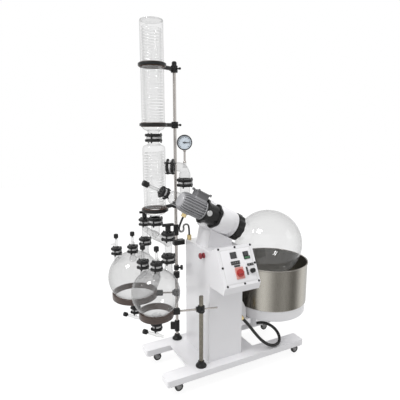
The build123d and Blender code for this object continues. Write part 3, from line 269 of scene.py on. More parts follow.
class Recipe:
    """The nodes of one material, or of the world."""

    def __init__(self, owner):
        owner.use_nodes = True
        self.owner, self.tree = owner, owner.node_tree
        self.tree.nodes.clear()

    def node(self, kind, settings=None, sockets=None, output=0):
        """A shader node of a kind, its settings first and then the values or links of its sockets."""
        made = self.tree.nodes.new("ShaderNode" + kind)
        for key, value in (settings or {}).items():
            setattr(made, key, value)
        for key, value in (sockets or {}).items():
            if isinstance(value, Sum):
                self.tree.links.new(value.socket, made.inputs[key])
            else:
                made.inputs[key].default_value = value
        return Sum(self, made.outputs[output])

    def coords(self, stretch):
        """Object coordinates, stretched."""
        here = self.node("TexCoord", output="Object")
        return self.node("Mapping", None, {"Vector": here, "Scale": stretch})

    def noise(self, scale, detail, stretch=(1, 1, 1)):
        """Noise with a number of cells to the metre."""
        return self.node("TexNoise", None,
                         {"Vector": self.coords(stretch), "Scale": scale, "Detail": detail})

    def mix(self, share, first, second):
        """Two colours mixed by a share from 0 to 1: sockets 0, 6 and 7, and the result is output 2."""
        return self.node("Mix", {"data_type": "RGBA"},
                         {0: share, 6: (*first[:3], 1), 7: (*second[:3], 1)}, output=2)

    def bump(self, height, strength, distance):
        """A height turned into a bent normal."""
        return self.node("Bump", None,
                         {"Height": height, "Strength": strength, "Distance": distance})

    def gloss(self, sockets):
        """The standard surface shader."""
        return self.node("BsdfPrincipled", None, sockets)

    def done(self, shader):
        """Ends the graph at the owner's output and gives the owner back."""
        kind = "World" if isinstance(self.owner, bpy.types.World) else "Material"
        end = self.tree.nodes.new(f"ShaderNodeOutput{kind}")
        self.tree.links.new(shader.socket, end.inputs["Surface"])
        return self.owner

    def parts(self, vector):
        """The three parts of a vector."""
        split = self.node("SeparateXYZ", None, {0: vector}).socket.node
        return [Sum(self, socket) for socket in split.outputs]

    def seen(self):
        """1 for the camera's rays and for what gloss and glass show, 0 for the light on matt surfaces."""
        first = self.node("LightPath", output="Is Camera Ray")
        rays = first.socket.node.outputs
        every = first + Sum(self, rays["Is Glossy Ray"]) + Sum(self, rays["Is Transmission Ray"])
        return first.math("MINIMUM", every, 1.0)


def grey(level):
    """An even grey as red, green, blue and alpha."""
    return level, level, level, 1.0


# %% [markdown]
# ## Paint, steel, plastic and rubber
# Powder coat is white with a faint orange peel. Stainless steel is brushed, so its roughness and
# colour run in fine streaks. The clamps are dark moulded plastic with a satin grain. Each finish varies
# a little over the surface, because a single flat colour looks like no material at all.

# %% Kinds of finish
CLOUD, PATCH, STREAK, PEEL = 4, 35, 60, 650  # noise cells to the metre


def powder_coat(name, low, high, roughness=0.3):
    """Paint: colour drifts slowly, and a fine noise dimples the surface."""
    recipe = Recipe(bpy.data.materials.new(name))
    cloud = recipe.noise(CLOUD, 3)
    peel = recipe.noise(PEEL, 2)
    return recipe.done(recipe.gloss({
        "Base Color": recipe.mix(cloud, low, high), "Roughness": cloud * 0.1 + (roughness - 0.05),
        "Coat Weight": 0.25, "Coat Roughness": 0.12, "Normal": recipe.bump(peel, 0.05, 0.0006)}))


def brushed(name, dark, light, roughness, stretch):
    """Metal: streaks are a noise squeezed across the brushing direction."""
    recipe = Recipe(bpy.data.materials.new(name))
    streak = recipe.noise(STREAK, 4, stretch)
    broad = recipe.noise(5, 2, (1, 1, 0.3))
    share = streak * 0.6 + broad * 0.4
    return recipe.done(recipe.gloss({
        "Base Color": recipe.mix(share, dark, light), "Metallic": 1.0,
        "Roughness": streak * 0.16 + (roughness - 0.08), "Normal": recipe.bump(streak, 0.08, 0.0004)}))


def moulded(name, low, high, roughness, grain=900, coat=0.0, specular=0.5, stretch=(1, 1, 1)):
    """Plastic or rubber: a satin grain, with slightly worn patches that shine more. Where the patches are
    stretched into streaks, as on the receiver rings, they are painted sheen.
    """
    recipe = Recipe(bpy.data.materials.new(name))
    patch = recipe.noise(PATCH, 3, stretch)
    fine = recipe.noise(grain, 2)
    return recipe.done(recipe.gloss({
        "Base Color": recipe.mix(patch, low, high), "Roughness": patch * 0.18 + (roughness - 0.09),
        "Coat Weight": coat, "Specular IOR Level": specular, "Normal": recipe.bump(fine, 0.12, 0.0005)}))


def steel_with_painted_reflections(name, dark, light, axis, highlight_bearing):
    """Sheet rolled round an axis, its colour painted with reflections up the wall.

    The painted reflections are a sum of cosines of the bearing round the axis, brightest at the highlight
    bearing, and the dark colour stands in for dark surroundings seen in the steel.
    """
    recipe = Recipe(bpy.data.materials.new(name))
    here = recipe.node("TexCoord", output="Object")
    moved = recipe.node("Mapping", None, {"Vector": here, "Location": (-axis[0], -axis[1], 0)})
    east, north, _ = recipe.parts(moved)
    bearing = east.math("ARCTAN2", north, east)
    streak = recipe.noise(STREAK, 4, (14, 14, 0.35))
    # Painted reflections: bright and dark stripes round the wall, brightest at the highlight bearing, over
    # the brush grain.
    grain_and_reflection_stripes = streak * 0.3 + 0.2
    for turns, share in ((5, 0.26), (11, 0.14)):
        grain_and_reflection_stripes = grain_and_reflection_stripes + bearing.math("COSINE", bearing * turns - highlight_bearing * turns) * share
    return recipe.done(recipe.gloss({
        "Base Color": recipe.mix(grain_and_reflection_stripes.math("MAXIMUM", grain_and_reflection_stripes, 0.0), dark, light), "Metallic": 1.0,
        "Roughness": streak * 0.14 + 0.2, "Normal": recipe.bump(streak, 0.06, 0.0004)}))


def blown_glass(name, rim, clear, reach, share, shine=0.3):
    """Thin glass: clear face on, greyer where the wall is seen edge on.

    A mirror's share of reflection grows towards the edge.
    """
    recipe = Recipe(bpy.data.materials.new(name))
    facing = recipe.node("LayerWeight", None, {"Blend": 0.5}, output="Facing")
    clear_wall = recipe.node("BsdfTransparent", None, {"Color": grey(clear)})
    edge = recipe.gloss({"Base Color": rim, "Roughness": 0.1, "IOR": 1.47})
    body = recipe.node("MixShader", None, {0: facing ** reach * share, 1: clear_wall, 2: edge})
    mirror = recipe.node("BsdfGlossy", None, {"Color": grey(1.0), "Roughness": 0.04})
    mirrored = facing ** 5 * shine + 0.05
    return recipe.done(recipe.node("MixShader", None, {0: mirrored, 1: body, 2: mirror}))


# %% The finishes of this machine
white = powder_coat("white_powder_coat", (0.82, 0.814, 0.836), (0.88, 0.876, 0.89))
# The bath's steel runs from near black to pale as a painted reflection of its surroundings, with the painted
# highlight at bearing -2.39.
bath_steel = steel_with_painted_reflections("bath_steel", (0.07, 0.064, 0.054), (0.56, 0.535, 0.48), (0.395, -0.06), -2.39)
lining_steel = brushed("lining_steel", (0.3, 0.29, 0.26), (0.56, 0.54, 0.5), 0.3, (9, 9, 0.4))
dark_steel = brushed("dark_steel", (0.09, 0.083, 0.068), (0.26, 0.24, 0.2), 0.26, (3, 3, 0.6))
rod_steel = brushed("rod_steel", (0.33, 0.305, 0.29), (0.55, 0.525, 0.5), 0.24, (3, 3, 0.6))
gear_steel = brushed("gear_steel", grey(0.35), grey(0.6), 0.34, (5, 5, 5))
black = moulded("black_plastic", grey(0.008), grey(0.02), 0.36, specular=0.22)
black_cast = moulded("black_cast", grey(0.008), grey(0.018), 0.32, 500, 0.05, 0.22)
black_hose = moulded("black_hose", grey(0.008), grey(0.016), 0.27, 700, 0.08, 0.3)
castor_grey = moulded("castor_grey", grey(0.1), grey(0.18), 0.45)
tyre_dark = moulded("castor_tyre", grey(0.014), grey(0.035), 0.5, specular=0.3)
seal_white = moulded("joint_seal", grey(0.45), grey(0.66), 0.45)
motor_grey = powder_coat("motor_grey", (0.3, 0.3, 0.312), (0.48, 0.48, 0.496), 0.22)
box_grey = powder_coat("terminal_grey", (0.1, 0.1, 0.105), (0.17, 0.17, 0.178), 0.34)
brown_pad = moulded("brown_pad", (0.05, 0.026, 0.018), (0.11, 0.062, 0.042), 0.6, 400)
brass = brushed("brass", (0.55, 0.42, 0.2), (0.78, 0.64, 0.36), 0.3, (8, 8, 8))
red = moulded("red_plastic", (0.36, 0.014, 0.012), (0.5, 0.03, 0.025), 0.3, 700, 0.2)
red_dark = moulded("stop_red", (0.2, 0.016, 0.024), (0.32, 0.036, 0.046), 0.4, 700, 0.05)
plate_pink = moulded("switch_plate", (0.6, 0.24, 0.21), (0.72, 0.34, 0.3), 0.4, 700, 0.1)
screen = moulded("dark_screen", (0.012, 0.014, 0.016), (0.03, 0.032, 0.036), 0.16, 900, 0.5)
screen_green = moulded("green_screen", (0.015, 0.08, 0.03), (0.03, 0.16, 0.06), 0.2, 900, 0.5)
# The lower rings are dark brown; their lighter brown streaks, stretched flat round the ring, are painted
# sheen.
ring_rubber_painted_sheen = moulded("ring_rubber", (0.004, 0.003, 0.003), (0.13, 0.088, 0.072), 0.34, 500, 0.1, 0.35,
                     (0.5, 0.5, 5))
# Grey for the painted shade line round the lid's raised middle.
groove_shade_grey = moulded("lid_groove_shade", grey(0.66), grey(0.75), 0.5)
hub_grey = moulded("castor_hub", grey(0.26), grey(0.38), 0.4)
glass = blown_glass("clear_glass", grey(0.28), 0.875, 2.6, 0.7)
receiver_glass = blown_glass("receiver_glass", grey(0.26), 0.815, 2.6, 0.75)
pale_glass = blown_glass("pale_glass", grey(0.3), 0.93, 4.0, 0.8)
coil_glass = blown_glass("coil_glass", grey(0.5), 0.985, 2.2, 0.42, 0.2)
print("finishes:", len(bpy.data.materials))

# %% Each solid gets its finish
finishes = {
    "white_paint": white, "black_cast": black_cast, "black_plastic": black, "grey_motor": motor_grey,
    "steel": rod_steel, "gear_steel": gear_steel, "glass": glass, "pad_rubber": brown_pad,
    "wheel_rubber": tyre_dark, "hose_plastic": black_hose, "conduit_black": black_hose, "brass": brass,
    "red_plastic": red, "display_dark": screen, "needle_black": black,
}
for part in frame["record"]["subparts"]:
    shape = nodes[part["node"]].data
    shape.materials.clear()
    shape.materials.append(finishes[part["material_slot"]])
for name, node in nodes.items():
    if name.startswith("castor_fork"):
        node.data.materials[0] = hub_grey
print("solids dressed:", len(nodes))

# %% [markdown]
# ## The stage, the light and the camera
# The photograph has a white ground, so the floor is pale, and floor and world look white to the camera, to
# gloss and to glass. The light itself is a soft sky that is stronger from above and from the left, with one
# lamp high on the left and a weak one on the right. The camera stands where the vanishing lines of the
# photograph put it: 1.5 m up, looking 10 degrees down.

# %% Floor and world
scene = bpy.context.scene
scene.view_settings.view_transform = "Standard"
FLOOR_HALF, FLOOR_LEVEL = 9.0, -0.0005
floor_corners = [(x * FLOOR_HALF, y * FLOOR_HALF, FLOOR_LEVEL)
                 for x, y in ((-1, -1), (1, -1), (1, 1), (-1, 1))]
floor_mesh = bpy.data.meshes.new("floor")
floor_mesh.from_pydata(floor_corners, [], [[0, 1, 2, 3]])
floor = bpy.data.objects.new("floor", floor_mesh)
scene.collection.objects.link(floor)
recipe = Recipe(bpy.data.materials.new("pale_floor"))
matt = recipe.node("BsdfDiffuse", None, {"Color": grey(0.58)})
lift = recipe.node("Emission", None, {"Color": grey(1.0), "Strength": 1.3})
floor_mesh.materials.append(recipe.done(recipe.node(
    "MixShader", None, {0: recipe.seen() * 0.68, 1: matt, 2: lift})))

world = bpy.data.worlds.new("studio")
scene.world = world
recipe = Recipe(world)
SKY, LEFT_SKY, FRONT_SHADE, BASE_LIGHT = 1.25, 0.52, 0.32, 0.22
east, north, up = recipe.parts(recipe.node("TexCoord", output="Generated"))
level = up.math("MAXIMUM", up, 0.0) * SKY + east.math("MAXIMUM", east * -1, 0.0) * LEFT_SKY + BASE_LIGHT
level = level - north.math("MAXIMUM", north * -1, 0.0) * FRONT_SHADE
plain = recipe.node("Background", None, {"Color": grey(1.0), "Strength": 1.0})
studio = recipe.node("Background", None, {"Color": grey(1.0), "Strength": level})
recipe.done(recipe.node("MixShader", None, {0: recipe.seen(), 1: studio, 2: plain}))
print("floor:", 2 * FLOOR_HALF, "m across, world:", world.name)


# %% Lamps and camera
def lamp(name, place, aim, size, power):
    """A square soft box at a place, turned towards a point."""
    data = bpy.data.lights.new(name, "AREA")
    data.size, data.energy = size, power
    made = bpy.data.objects.new(name, data)
    made.location = place
    made.rotation_euler = (Vector(aim) - Vector(place)).to_track_quat("-Z", "Y").to_euler()
    scene.collection.objects.link(made)


lamp("key", (-2.7, -0.5, 4.2), (0, 0, 0.8), 1.1, 70)
lamp("fill", (2.8, -2.4, 2.4), (0.2, 0, 0.8), 1.4, 6)

LENS_MM, SENSOR_MM = 34.65, 36.0
EYE, PITCH, BEARING = (-1.1976, -2.081, 1.5), math.radians(79.7), math.radians(-27.42)
camera = bpy.data.objects.new("camera", bpy.data.cameras.new("camera"))
camera.data.lens, camera.data.sensor_width = LENS_MM, SENSOR_MM
camera.location = EYE
camera.rotation_euler = (PITCH, 0, BEARING)
scene.collection.objects.link(camera)
scene.camera = camera
print("lamps:", len(bpy.data.lights), "camera at", EYE)

# %% [markdown]
# ## Conduit and hose
# A black conduit feeds the motor and a thicker black hose feeds the bath. Both hang free between two
# fixed ends, so each is a NURBS line whose control points are its route. The hose's end goes down with
# the bath; here the hose is a mesh tube carried along the points of its line, and no body carries it.

# %% The two flexible lines
conduit_route = [(-0.157, 0.075, 0.838), (-0.157, 0.075, 0.8711), (-0.1741, 0.0532, 0.9169),
                 (-0.2311, 0.0072, 0.9279), (-0.2584, -0.0638, 0.912), (-0.3009, -0.1143, 0.9189),
                 (-0.3409, -0.1669, 0.9508), (-0.3365, -0.190, 0.9988), (-0.322, -0.190, 1.026)]
hose_route = [(0.088, -0.190, 0.322), (0.120, -0.2044, 0.2843), (0.154, -0.220, 0.232),
              (0.198, -0.244, 0.172), (0.248, -0.264, 0.132), (0.298, -0.270, 0.122),
              (0.340, -0.256, 0.132), (0.364, -0.220, 0.152), (0.362, -0.180, 0.178),
              (0.338, -0.144, 0.200), (0.292, -0.112, 0.213), (0.246, -0.112, 0.213)]


def smooth_line(name, route, depth):
    """A NURBS line whose control points are the route's points."""
    data = bpy.data.curves.new(name, "CURVE")
    data.dimensions, data.resolution_u = "3D", 16
    data.bevel_depth, data.bevel_resolution, data.use_fill_caps = depth, 5, True
    line = data.splines.new("NURBS")
    line.points.add(len(route) - 1)
    for point, place in zip(line.points, route):
        point.co = (*place, 1.0)
    line.order_u, line.use_endpoint_u = 3, True
    made = bpy.data.objects.new(name, data)
    scene.collection.objects.link(made)
    return made


def line_points(route):
    """Points read from the route's own NURBS line."""
    bare = smooth_line("route", route, 0.0)
    bpy.context.view_layer.update()
    mesh = bpy.data.meshes.new_from_object(bare.evaluated_get(bpy.context.evaluated_depsgraph_get()))
    points = np.zeros(len(mesh.vertices) * 3)
    mesh.vertices.foreach_get("co", points)
    bpy.data.meshes.remove(mesh)
    bpy.data.objects.remove(bare)
    return points.reshape(-1, 3)


def line_length(points):
    """Sum of the steps from point to point."""
    return float(np.linalg.norm(np.diff(points, axis=0), axis=1).sum())


conduit = smooth_line("motor_conduit_line", conduit_route, 0.006)
conduit.data.materials.append(black_hose)
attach(conduit, "frame")
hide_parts("motor_conduit")
conduit_length = line_length(line_points(conduit_route))

hose_path = line_points(hose_route)
hose = piece("bath_hose_line", [tube(hose_path / MM, 10, 20)], black_hose, "frame",
             "bath_hose")
hose.parent = None
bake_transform(hose)
print("conduit", round(conduit_length, 3), "m, hose", round(line_length(hose_path), 3), "m")

# %% [markdown]
# ## Blown glassware
# Borosilicate vessels are drawn on a lathe, so each is a profile turned about its axis: a sphere that
# flows into a neck, a jacket with soft shoulders. A neck on the side of a sphere needs a seam that runs
# over the ball, so its lowest ring takes its height from the ball's own formula.

# %% The turning flask
TILT = math.radians(28)
DRIVE_X, DRIVE_Y, MOTOR_Y, DRIVE_Z = 370, -60, -190, 748
FLASK_R, NECK_R = 225, 88
drive_way = (-math.cos(TILT), 0, math.sin(TILT))
drive = stand((DRIVE_X, DRIVE_Y, DRIVE_Z), drive_way)
motor = stand((DRIVE_X, MOTOR_Y, DRIVE_Z), drive_way)


def bezier(start, bend, end, steps=10):
    """A quadratic curve from start to end, pulled towards a bend."""
    t = np.linspace(0, 1, steps)[:, None]
    return (1 - t) ** 2 * np.array(start) + 2 * t * (1 - t) * np.array(bend) + t ** 2 * np.array(end)


def ball(radius, low, high, steps=40):
    """Half outline of a sphere between two latitudes: (R cos b, R sin b)."""
    return radius * compass(np.linspace(low, high, steps))


def glassware(name, shapes, replaces, finish=glass, body="frame"):
    """A glass piece, shaded softly over every seam."""
    piece(name, shapes, finish, body, replaces, crease=60)


neck_from = math.acos(NECK_R / FLASK_R)
flask_profile = np.vstack([
    ball(FLASK_R, -math.pi / 2, neck_from),
    bezier((NECK_R, FLASK_R * math.sin(neck_from)), (60, 218.5), (60, 236))[1:],
    rounded([(60, 290), (60, 300), (68, 300), (68, 312), (57, 312)], 3)])
glassware("flask_glass", [turned(drive, flask_profile, 96)], "rotary_flask", body="flask")
print("flask across:", 2 * FLASK_R, "mm")

# %% Condensers with their coils
COLUMN, INLET_Z, INLET_END = (-399, 40), 1290, 96
column = stand((*COLUMN, 0), UP)
lower_profile = rounded([(35, 962), (35, 969), (27, 969), (27, 1000), (66, 1012), (66, 1409), (31, 1421),
                         (31, 1449), (39, 1449), (39, 1456)], [2, 2, 14, 18, 18, 14, 2, 2], 8)
inlet_way = unit((150, -100, 0))
inlet = stand((*COLUMN, INLET_Z), inlet_way)
inlet_tube = rounded([(36, 62), (26, 66), (26, 89), (34, 89), (34, 96)], [5, 2, 2])
glassware("condenser_lower_glass", [turned(column, lower_profile, 72), turned(inlet, inlet_tube, 40)],
          "condenser_lower", pale_glass)
upper_profile = rounded([(39, 1456), (39, 1463), (31, 1463), (31, 1492), (66, 1506), (66, 2096), (0, 2096)],
                        [2, 2, 14, 18, 9], 8)
top_rim = ball(4, -math.pi, math.pi, 13) + (61, 2091)
glassware("condenser_upper_glass", [turned(column, upper_profile, 72), turned(column, top_rim, 72)],
          "condenser_upper", pale_glass)


def coil(place, radius, low, high, pitch, steps=36):
    """A helix: the angle grows with the height, one turn to a pitch."""
    origin, x, y, z = place
    count = int((high - low) / pitch * steps)
    t = np.linspace(0, 1, count)
    a = 2 * np.pi * (high - low) / pitch * t
    return (origin + (low + (high - low) * t)[:, None] * z
            + radius * (np.cos(a)[:, None] * x + np.sin(a)[:, None] * y))


coils = [tube(coil(column, 52, low, high, 16), 5.2, 8) for low, high in ((1046, 1378), (1538, 2056))]
glassware("condenser_coil_glass", coils, "condenser_coils", coil_glass)
print("condensers with", len(coils), "coils")

# %% Vapour tube, branch and elbow
tee_profile = rounded([(40, 290), (40, 798), (16, 818), (16, 843), (24, 843), (24, 850)], [16, 8, 2, 2], 8)
BRANCH, BRANCH_TOP = (-249, -60), 1199
branch_z = DRIVE_Z + (DRIVE_X - BRANCH[0]) * math.tan(TILT)
branch = stand((*BRANCH, 0), UP)
branch_profile = rounded([(44, branch_z + 8), (30, branch_z + 40), (30, BRANCH_TOP - 7), (38, BRANCH_TOP - 7),
                          (38, BRANCH_TOP)], [14, 2, 2], 8)
glassware("vapour_tube_glass", [turned(drive, tee_profile, 56), turned(branch, branch_profile, 48)],
          "vapour_tee")
elbow_end = np.array([*COLUMN, INLET_Z]) + inlet_way * INLET_END
elbow_path = rounded([(*BRANCH, BRANCH_TOP), (*BRANCH, INLET_Z), elbow_end], 46, 14)
elbow_radius = np.interp(np.linspace(0, 1, len(elbow_path)), [0, 0.25, 1], [34, 27, 26])
nipple = stand((*BRANCH, 1284), UP)
glassware("vapour_elbow_glass", [
    tube(elbow_path, elbow_radius, 40, capped=False),
    turned(shifted(branch, BRANCH_TOP), rounded([(30, 0), (38, 0), (38, 7), (30, 7)], 2), 40),
    turned(shifted(inlet, INLET_END), rounded([(26, 0), (34, 0), (34, 7), (26, 7)], 2), 40),
    turned(nipple, rounded([(14, 0), (9, 14), (9, 28), (6, 28)], 4), 24)], "vapour_elbow")
print("vapour path done")

# %% Receivers: balls with necks whose feet run over the ball
LIP, DROP_END, DROP_TOP, ARM_Z = 7, 787, 917, 872


def neck(centre, radius, offset, bore, top, flare, lip=8):
    """A tube on a ball: the lowest ring lies on the ball, the next rise to a level ring and a lip."""
    t = np.linspace(0, 1, 12)
    a = angles(40)
    reach = (bore + flare * (1 - t) ** 2)[:, None]
    x, y = offset[0] + reach * np.cos(a), offset[1] + reach * np.sin(a)
    on_ball = np.sqrt(np.maximum(radius ** 2 - x ** 2 - y ** 2, 0))
    level = on_ball[0].max() + 8
    share = (t ** 2)[:, None]
    foot = np.stack([x, y, (1 - share) * on_ball + share * level], -1) + np.array(centre)
    axis = stand((centre[0] + offset[0], centre[1] + offset[1], 0), UP)
    straight = rounded([(bore, centre[2] + level), (bore, top - LIP), (bore + lip, top - LIP),
                        (bore + lip, top)], 2)
    return [grid(foot), turned(axis, straight, 40)]


rear_vents, front_vents = ((-112, 0), (-30, -75)), ((-72, 0), (-18, -68))
receivers = {"rear": ((-478, 235, 562), 168, rear_vents), "front": ((-478, -155, 600), 137, front_vents)}


def vent_top(centre, radius, vent):
    """Height of a vent neck's joint."""
    return centre[2] + math.sqrt(radius ** 2 - vent[0] ** 2 - vent[1] ** 2) + 62


vent_spots = {}
for side, (centre, radius, vents) in receivers.items():
    shapes = [turned(stand(centre, UP), ball(radius, -math.pi / 2, math.pi / 2, 56), 80)]
    shapes += neck(centre, radius, (79, 0), 22, DROP_END, 12, 6)
    for vent, way in zip(vents, ("left", "front")):
        top = vent_top(centre, radius, vent)
        vent_spots[f"{side}_{way}"] = (centre[0] + vent[0], centre[1] + vent[1], top)
        shapes += neck(centre, radius, vent, 15, top, 9)
    drain = stand((centre[0], centre[1], centre[2] - radius), (0, 0, -1))
    shapes.append(turned(drain, rounded([(28, -3), (15, 9), (15, 59), (23, 59), (23, 66)], [8, 2, 2]), 40))
    glassware(f"{side}_receiver_glass", shapes, f"{side}_receiver", receiver_glass)
print("receivers:", len(receivers), "vents:", len(vent_spots))

# %% Distributor and the small glass valves
drops = {"front": -155, "rear": 235}
hub_profile = rounded([(35, 962), (35, 955), (27, 955), (27, 900), (20, ARM_Z), (0, 856)], [2, 2, 14, 14], 8)
spread = [turned(column, hub_profile, 56)]
arm_path = np.linspace((COLUMN[0], drops["front"], ARM_Z), (COLUMN[0], drops["rear"], ARM_Z), 40)
arm_radius = 18 + 9 * np.exp(-((arm_path[:, 1] - COLUMN[1]) / 70) ** 2)
spread.append(tube(arm_path, arm_radius, 40, capped=False))
drop_profile = rounded([(28, DROP_END), (28, DROP_END + LIP), (20, DROP_END + LIP), (20, DROP_TOP - LIP),
                        (28, DROP_TOP - LIP), (28, DROP_TOP)], 2)
spread += [turned(stand((COLUMN[0], y, 0), UP), drop_profile, 40) for y in drops.values()]
glassware("distributor_glass", spread, "distributor")

feed = shifted(drive, 850)
drain_spots = {"front": (-478, -155, 341), "rear": (-478, 235, 272)}
stems = []
vent_profile = rounded([(23, 0), (23, 7), (17, 8), (15, 20), (9, 34), (9, 84), (6, 84)], [2, 2, 6, 8, 1], 6)
for spot, (x, y, z) in vent_spots.items():
    way = (-1, 0, 0) if spot.endswith("left") else (0, -1, 0)
    stems.append(turned(stand((x, y, z), UP), vent_profile, 32))
    side_arm = stand((x, y, z + 46), way)
    stems.append(turned(side_arm, rounded([(7, 5), (7, 16), (5, 17), (5, 36), (3, 36)], [2, 1, 1]), 20))
feed_profile = rounded([(24, 0), (24, 7), (16, 8), (14, 24), (9, 40), (9, 106), (6, 106)], [2, 2, 6, 8, 1], 6)
stems.append(turned(feed, feed_profile, 32))
valve_profile = rounded([(28, 0), (28, 7), (16, 8), (16, 26), (9, 26)], 2)
stems += [turned(stand((COLUMN[0], y, DROP_TOP), UP), valve_profile, 32) for y in drops.values()]
outlet_profile = rounded([(6, -46), (8, -46), (8, -26), (9, -25), (12, 0), (9, 24), (9, 66), (6, 66)], 3)
riser_profile = rounded([(9, 6), (9, 34), (15, 46), (23, 49), (23, 56)], [6, 2, 2])
for spot in drain_spots.values():
    stems.append(turned(stand(spot, drive_way), outlet_profile, 28))
    stems.append(turned(stand(spot, UP), riser_profile, 28))
glassware("valve_stem_glass", stems, "valve_bodies")
print("glassware done")

# %% [markdown]
# ## Clamps, knobs and the collar
# Every glass joint is held by a pair of black rings drawn together by three bolts over a pale seal. The
# rings bulge in six lobes, so their radius is a circle's times a slow ripple. Knobs and the big collar nut
# have finger grooves: the same turning, with a faster ripple.

# %% Ring clamps on every joint
def lobes(count, depth, phase=0.0):
    """A radius factor that falls by a depth between a number of lobes."""
    return lambda a: 1 - depth * (0.5 - 0.5 * np.cos(count * (a - phase)))


joints = [(shifted(column, 1456), 31), (shifted(inlet, INLET_END), 26), (shifted(column, 962), 27),
          (shifted(branch, BRANCH_TOP), 30), (feed, 16)]
for y in drops.values():
    joints += [(stand((COLUMN[0], y, DROP_TOP), UP), 20), (stand((COLUMN[0], y, DROP_END), UP), 22)]
joints += [(stand(spot, UP), 15) for spot in vent_spots.values()]
joints += [(stand((x, y, z + 56), UP), 15) for x, y, z in drain_spots.values()]
clamp_rings, clamp_bolts, seals = [], [], []
CLAMP_TURN = 0.4
hexagon = 4.2 * compass(angles(6))
for place, bore in joints:
    outer = bore + 20
    for low, high, depth in ((7, 23, 0.1), (-23, -7, 0.16)):
        clamp_rings.append(band(place, bore + 1.5, outer, low, high, 6.5, 72, lobes(6, depth, CLAMP_TURN)))
    seals.append(band(place, bore + 5, bore + 11, -6, 6, 2, 48))
    for a in CLAMP_TURN + angles(3):
        spot = (outer - 7) * compass(a)
        clamp_bolts.append(lofted(place, [(hexagon + spot, -30), (hexagon + spot, 27)]))
piece("joint_clamps", clamp_rings, black, replaces="flange_clamps", crease=50)
piece("joint_bolts", clamp_bolts, black_cast)
piece("joint_seals", seals, seal_white, crease=50)
piece("vapour_seat", [band(drive, 40.5, 54, 548, 572, 3, 56)], black)
print("clamps:", len(joints))

# %% Knobs with finger grooves, each on its own body
def knob(place, radius, length):
    """A grooved cap over a thin stem that reaches down into the tube."""
    profile = rounded([(0, -9), (4, -9), (4, 0.3), (radius - 1, 0.3), (radius, 3), (radius, length - 3),
                       (radius - 3, length + 0.3), (0, length + 0.3)], [1, 1, 1, 2, 2, 2])
    return turned(place, profile, 72, lobes(18, 0.07))


VENT_HIGH, DRAIN_LONG, FEED_LONG = 84, 66, 106
for spot, (x, y, z) in vent_spots.items():
    piece(f"vent_cap_{spot}", [knob(stand((x, y, z + VENT_HIGH), UP), 14, 26)], black, f"vent_{spot}",
          f"vent_knob_{spot}")
for side, spot in drain_spots.items():
    piece(f"drain_cap_{side}", [knob(shifted(stand(spot, drive_way), DRAIN_LONG), 14, 26)], black,
          f"{side}_drain", f"drain_knob_{side}")
piece("feed_cap", [knob(shifted(feed, FEED_LONG), 17, 36)], black, "feed_valve", "feed_knob")
collar = closed([(64, 285), (84, 285), (88, 291), (88, 332), (84, 338), (64, 338)], [1, 4, 3, 3, 4, 1])
piece("collar_grip", [turned(drive, collar, 144, lobes(12, 0.055))], black, "flask",
      "collar_nut")
print("knobs:", len(vent_spots) + len(drain_spots) + 1)

# %% [markdown]
# ## Drive head and motor
# The head is a painted casting: a barrel round the hollow shaft, widened into a gear case that also
# carries the motor. Its outline is the hull of two circles, and rows of that outline, drawn in a little at
# both ends, give the casting's soft edges. The motor's cooling ribs are a ripple in its radius.

# %% The casting
def hull(first, second, gap, steps=44):
    """Two circles and their outer tangents: the tangent leaves at the angle whose cosine is (R - r) / gap."""
    turn = math.pi - math.acos((first - second) / gap)
    a, b = np.linspace(-turn, turn, steps), np.linspace(turn, 2 * math.pi - turn, steps)
    return np.vstack([first * compass(a), second * compass(b) - (gap, 0)])


case_rows = [(hull(89 - inset, 71 - inset, DRIVE_Y - MOTOR_Y), station)
             for inset, station in ((9, 446), (4, 448), (1, 452), (0, 457), (0, 541), (1.5, 545), (5, 548))]
origin, across, down, along = shifted(drive, 342)
foot_place = origin + down * 92, across, along, -down
piece("drive_head", [lofted(drive, case_rows), band(drive, 69, 86, 342, 460, [2, 5, 2, 2], 80),
                     slab(foot_place, 150, 172, 14, 4, 1.5, centre=(-15, 86))],
      white, replaces="drive_housing", crease=30)
print("casting rows:", len(case_rows))

# %% Flange, ribs and terminal box
FLANGE_TURN = np.pi / 6
lips = [band(motor, 40, 74, low, low + 16, 4, 120, lobes(6, 0.1, FLANGE_TURN)) for low in (548, 632)]
neck_ring = [(62, 562), (60, 580), (60, 616), (62, 634)]
piece("motor_flange_cast", lips + [turned(motor, neck_ring, 80)], black_cast,
      replaces="motor_flange")
bolts, bolt_head = [], hexagon * 1.3
for a in FLANGE_TURN + angles(6):
    spot = 66 * compass(a)
    bolts += [lofted(motor, [(bolt_head + spot, low), (bolt_head + spot, low + 8)]) for low in (564, 624)]
plate_place = stand(np.array(shifted(motor, 636)[0]) - (0, 66, 0), (0, -1, 0))
plate = turned(plate_place, rounded([(0, 8), (14, 8), (17, 5), (17, -6)], 2), 40)
piece("motor_flange_bolts", bolts, black_cast)
piece("motor_flange_plate", [plate], gear_steel)


def fins(a):
    """A radius factor with 22 ribs: 1 + depth * tanh(5 (sin 22 a - 0.45)), which squares the wave off."""
    return 1 + 0.13 * np.tanh(5 * (np.sin(22 * a) - 0.45))


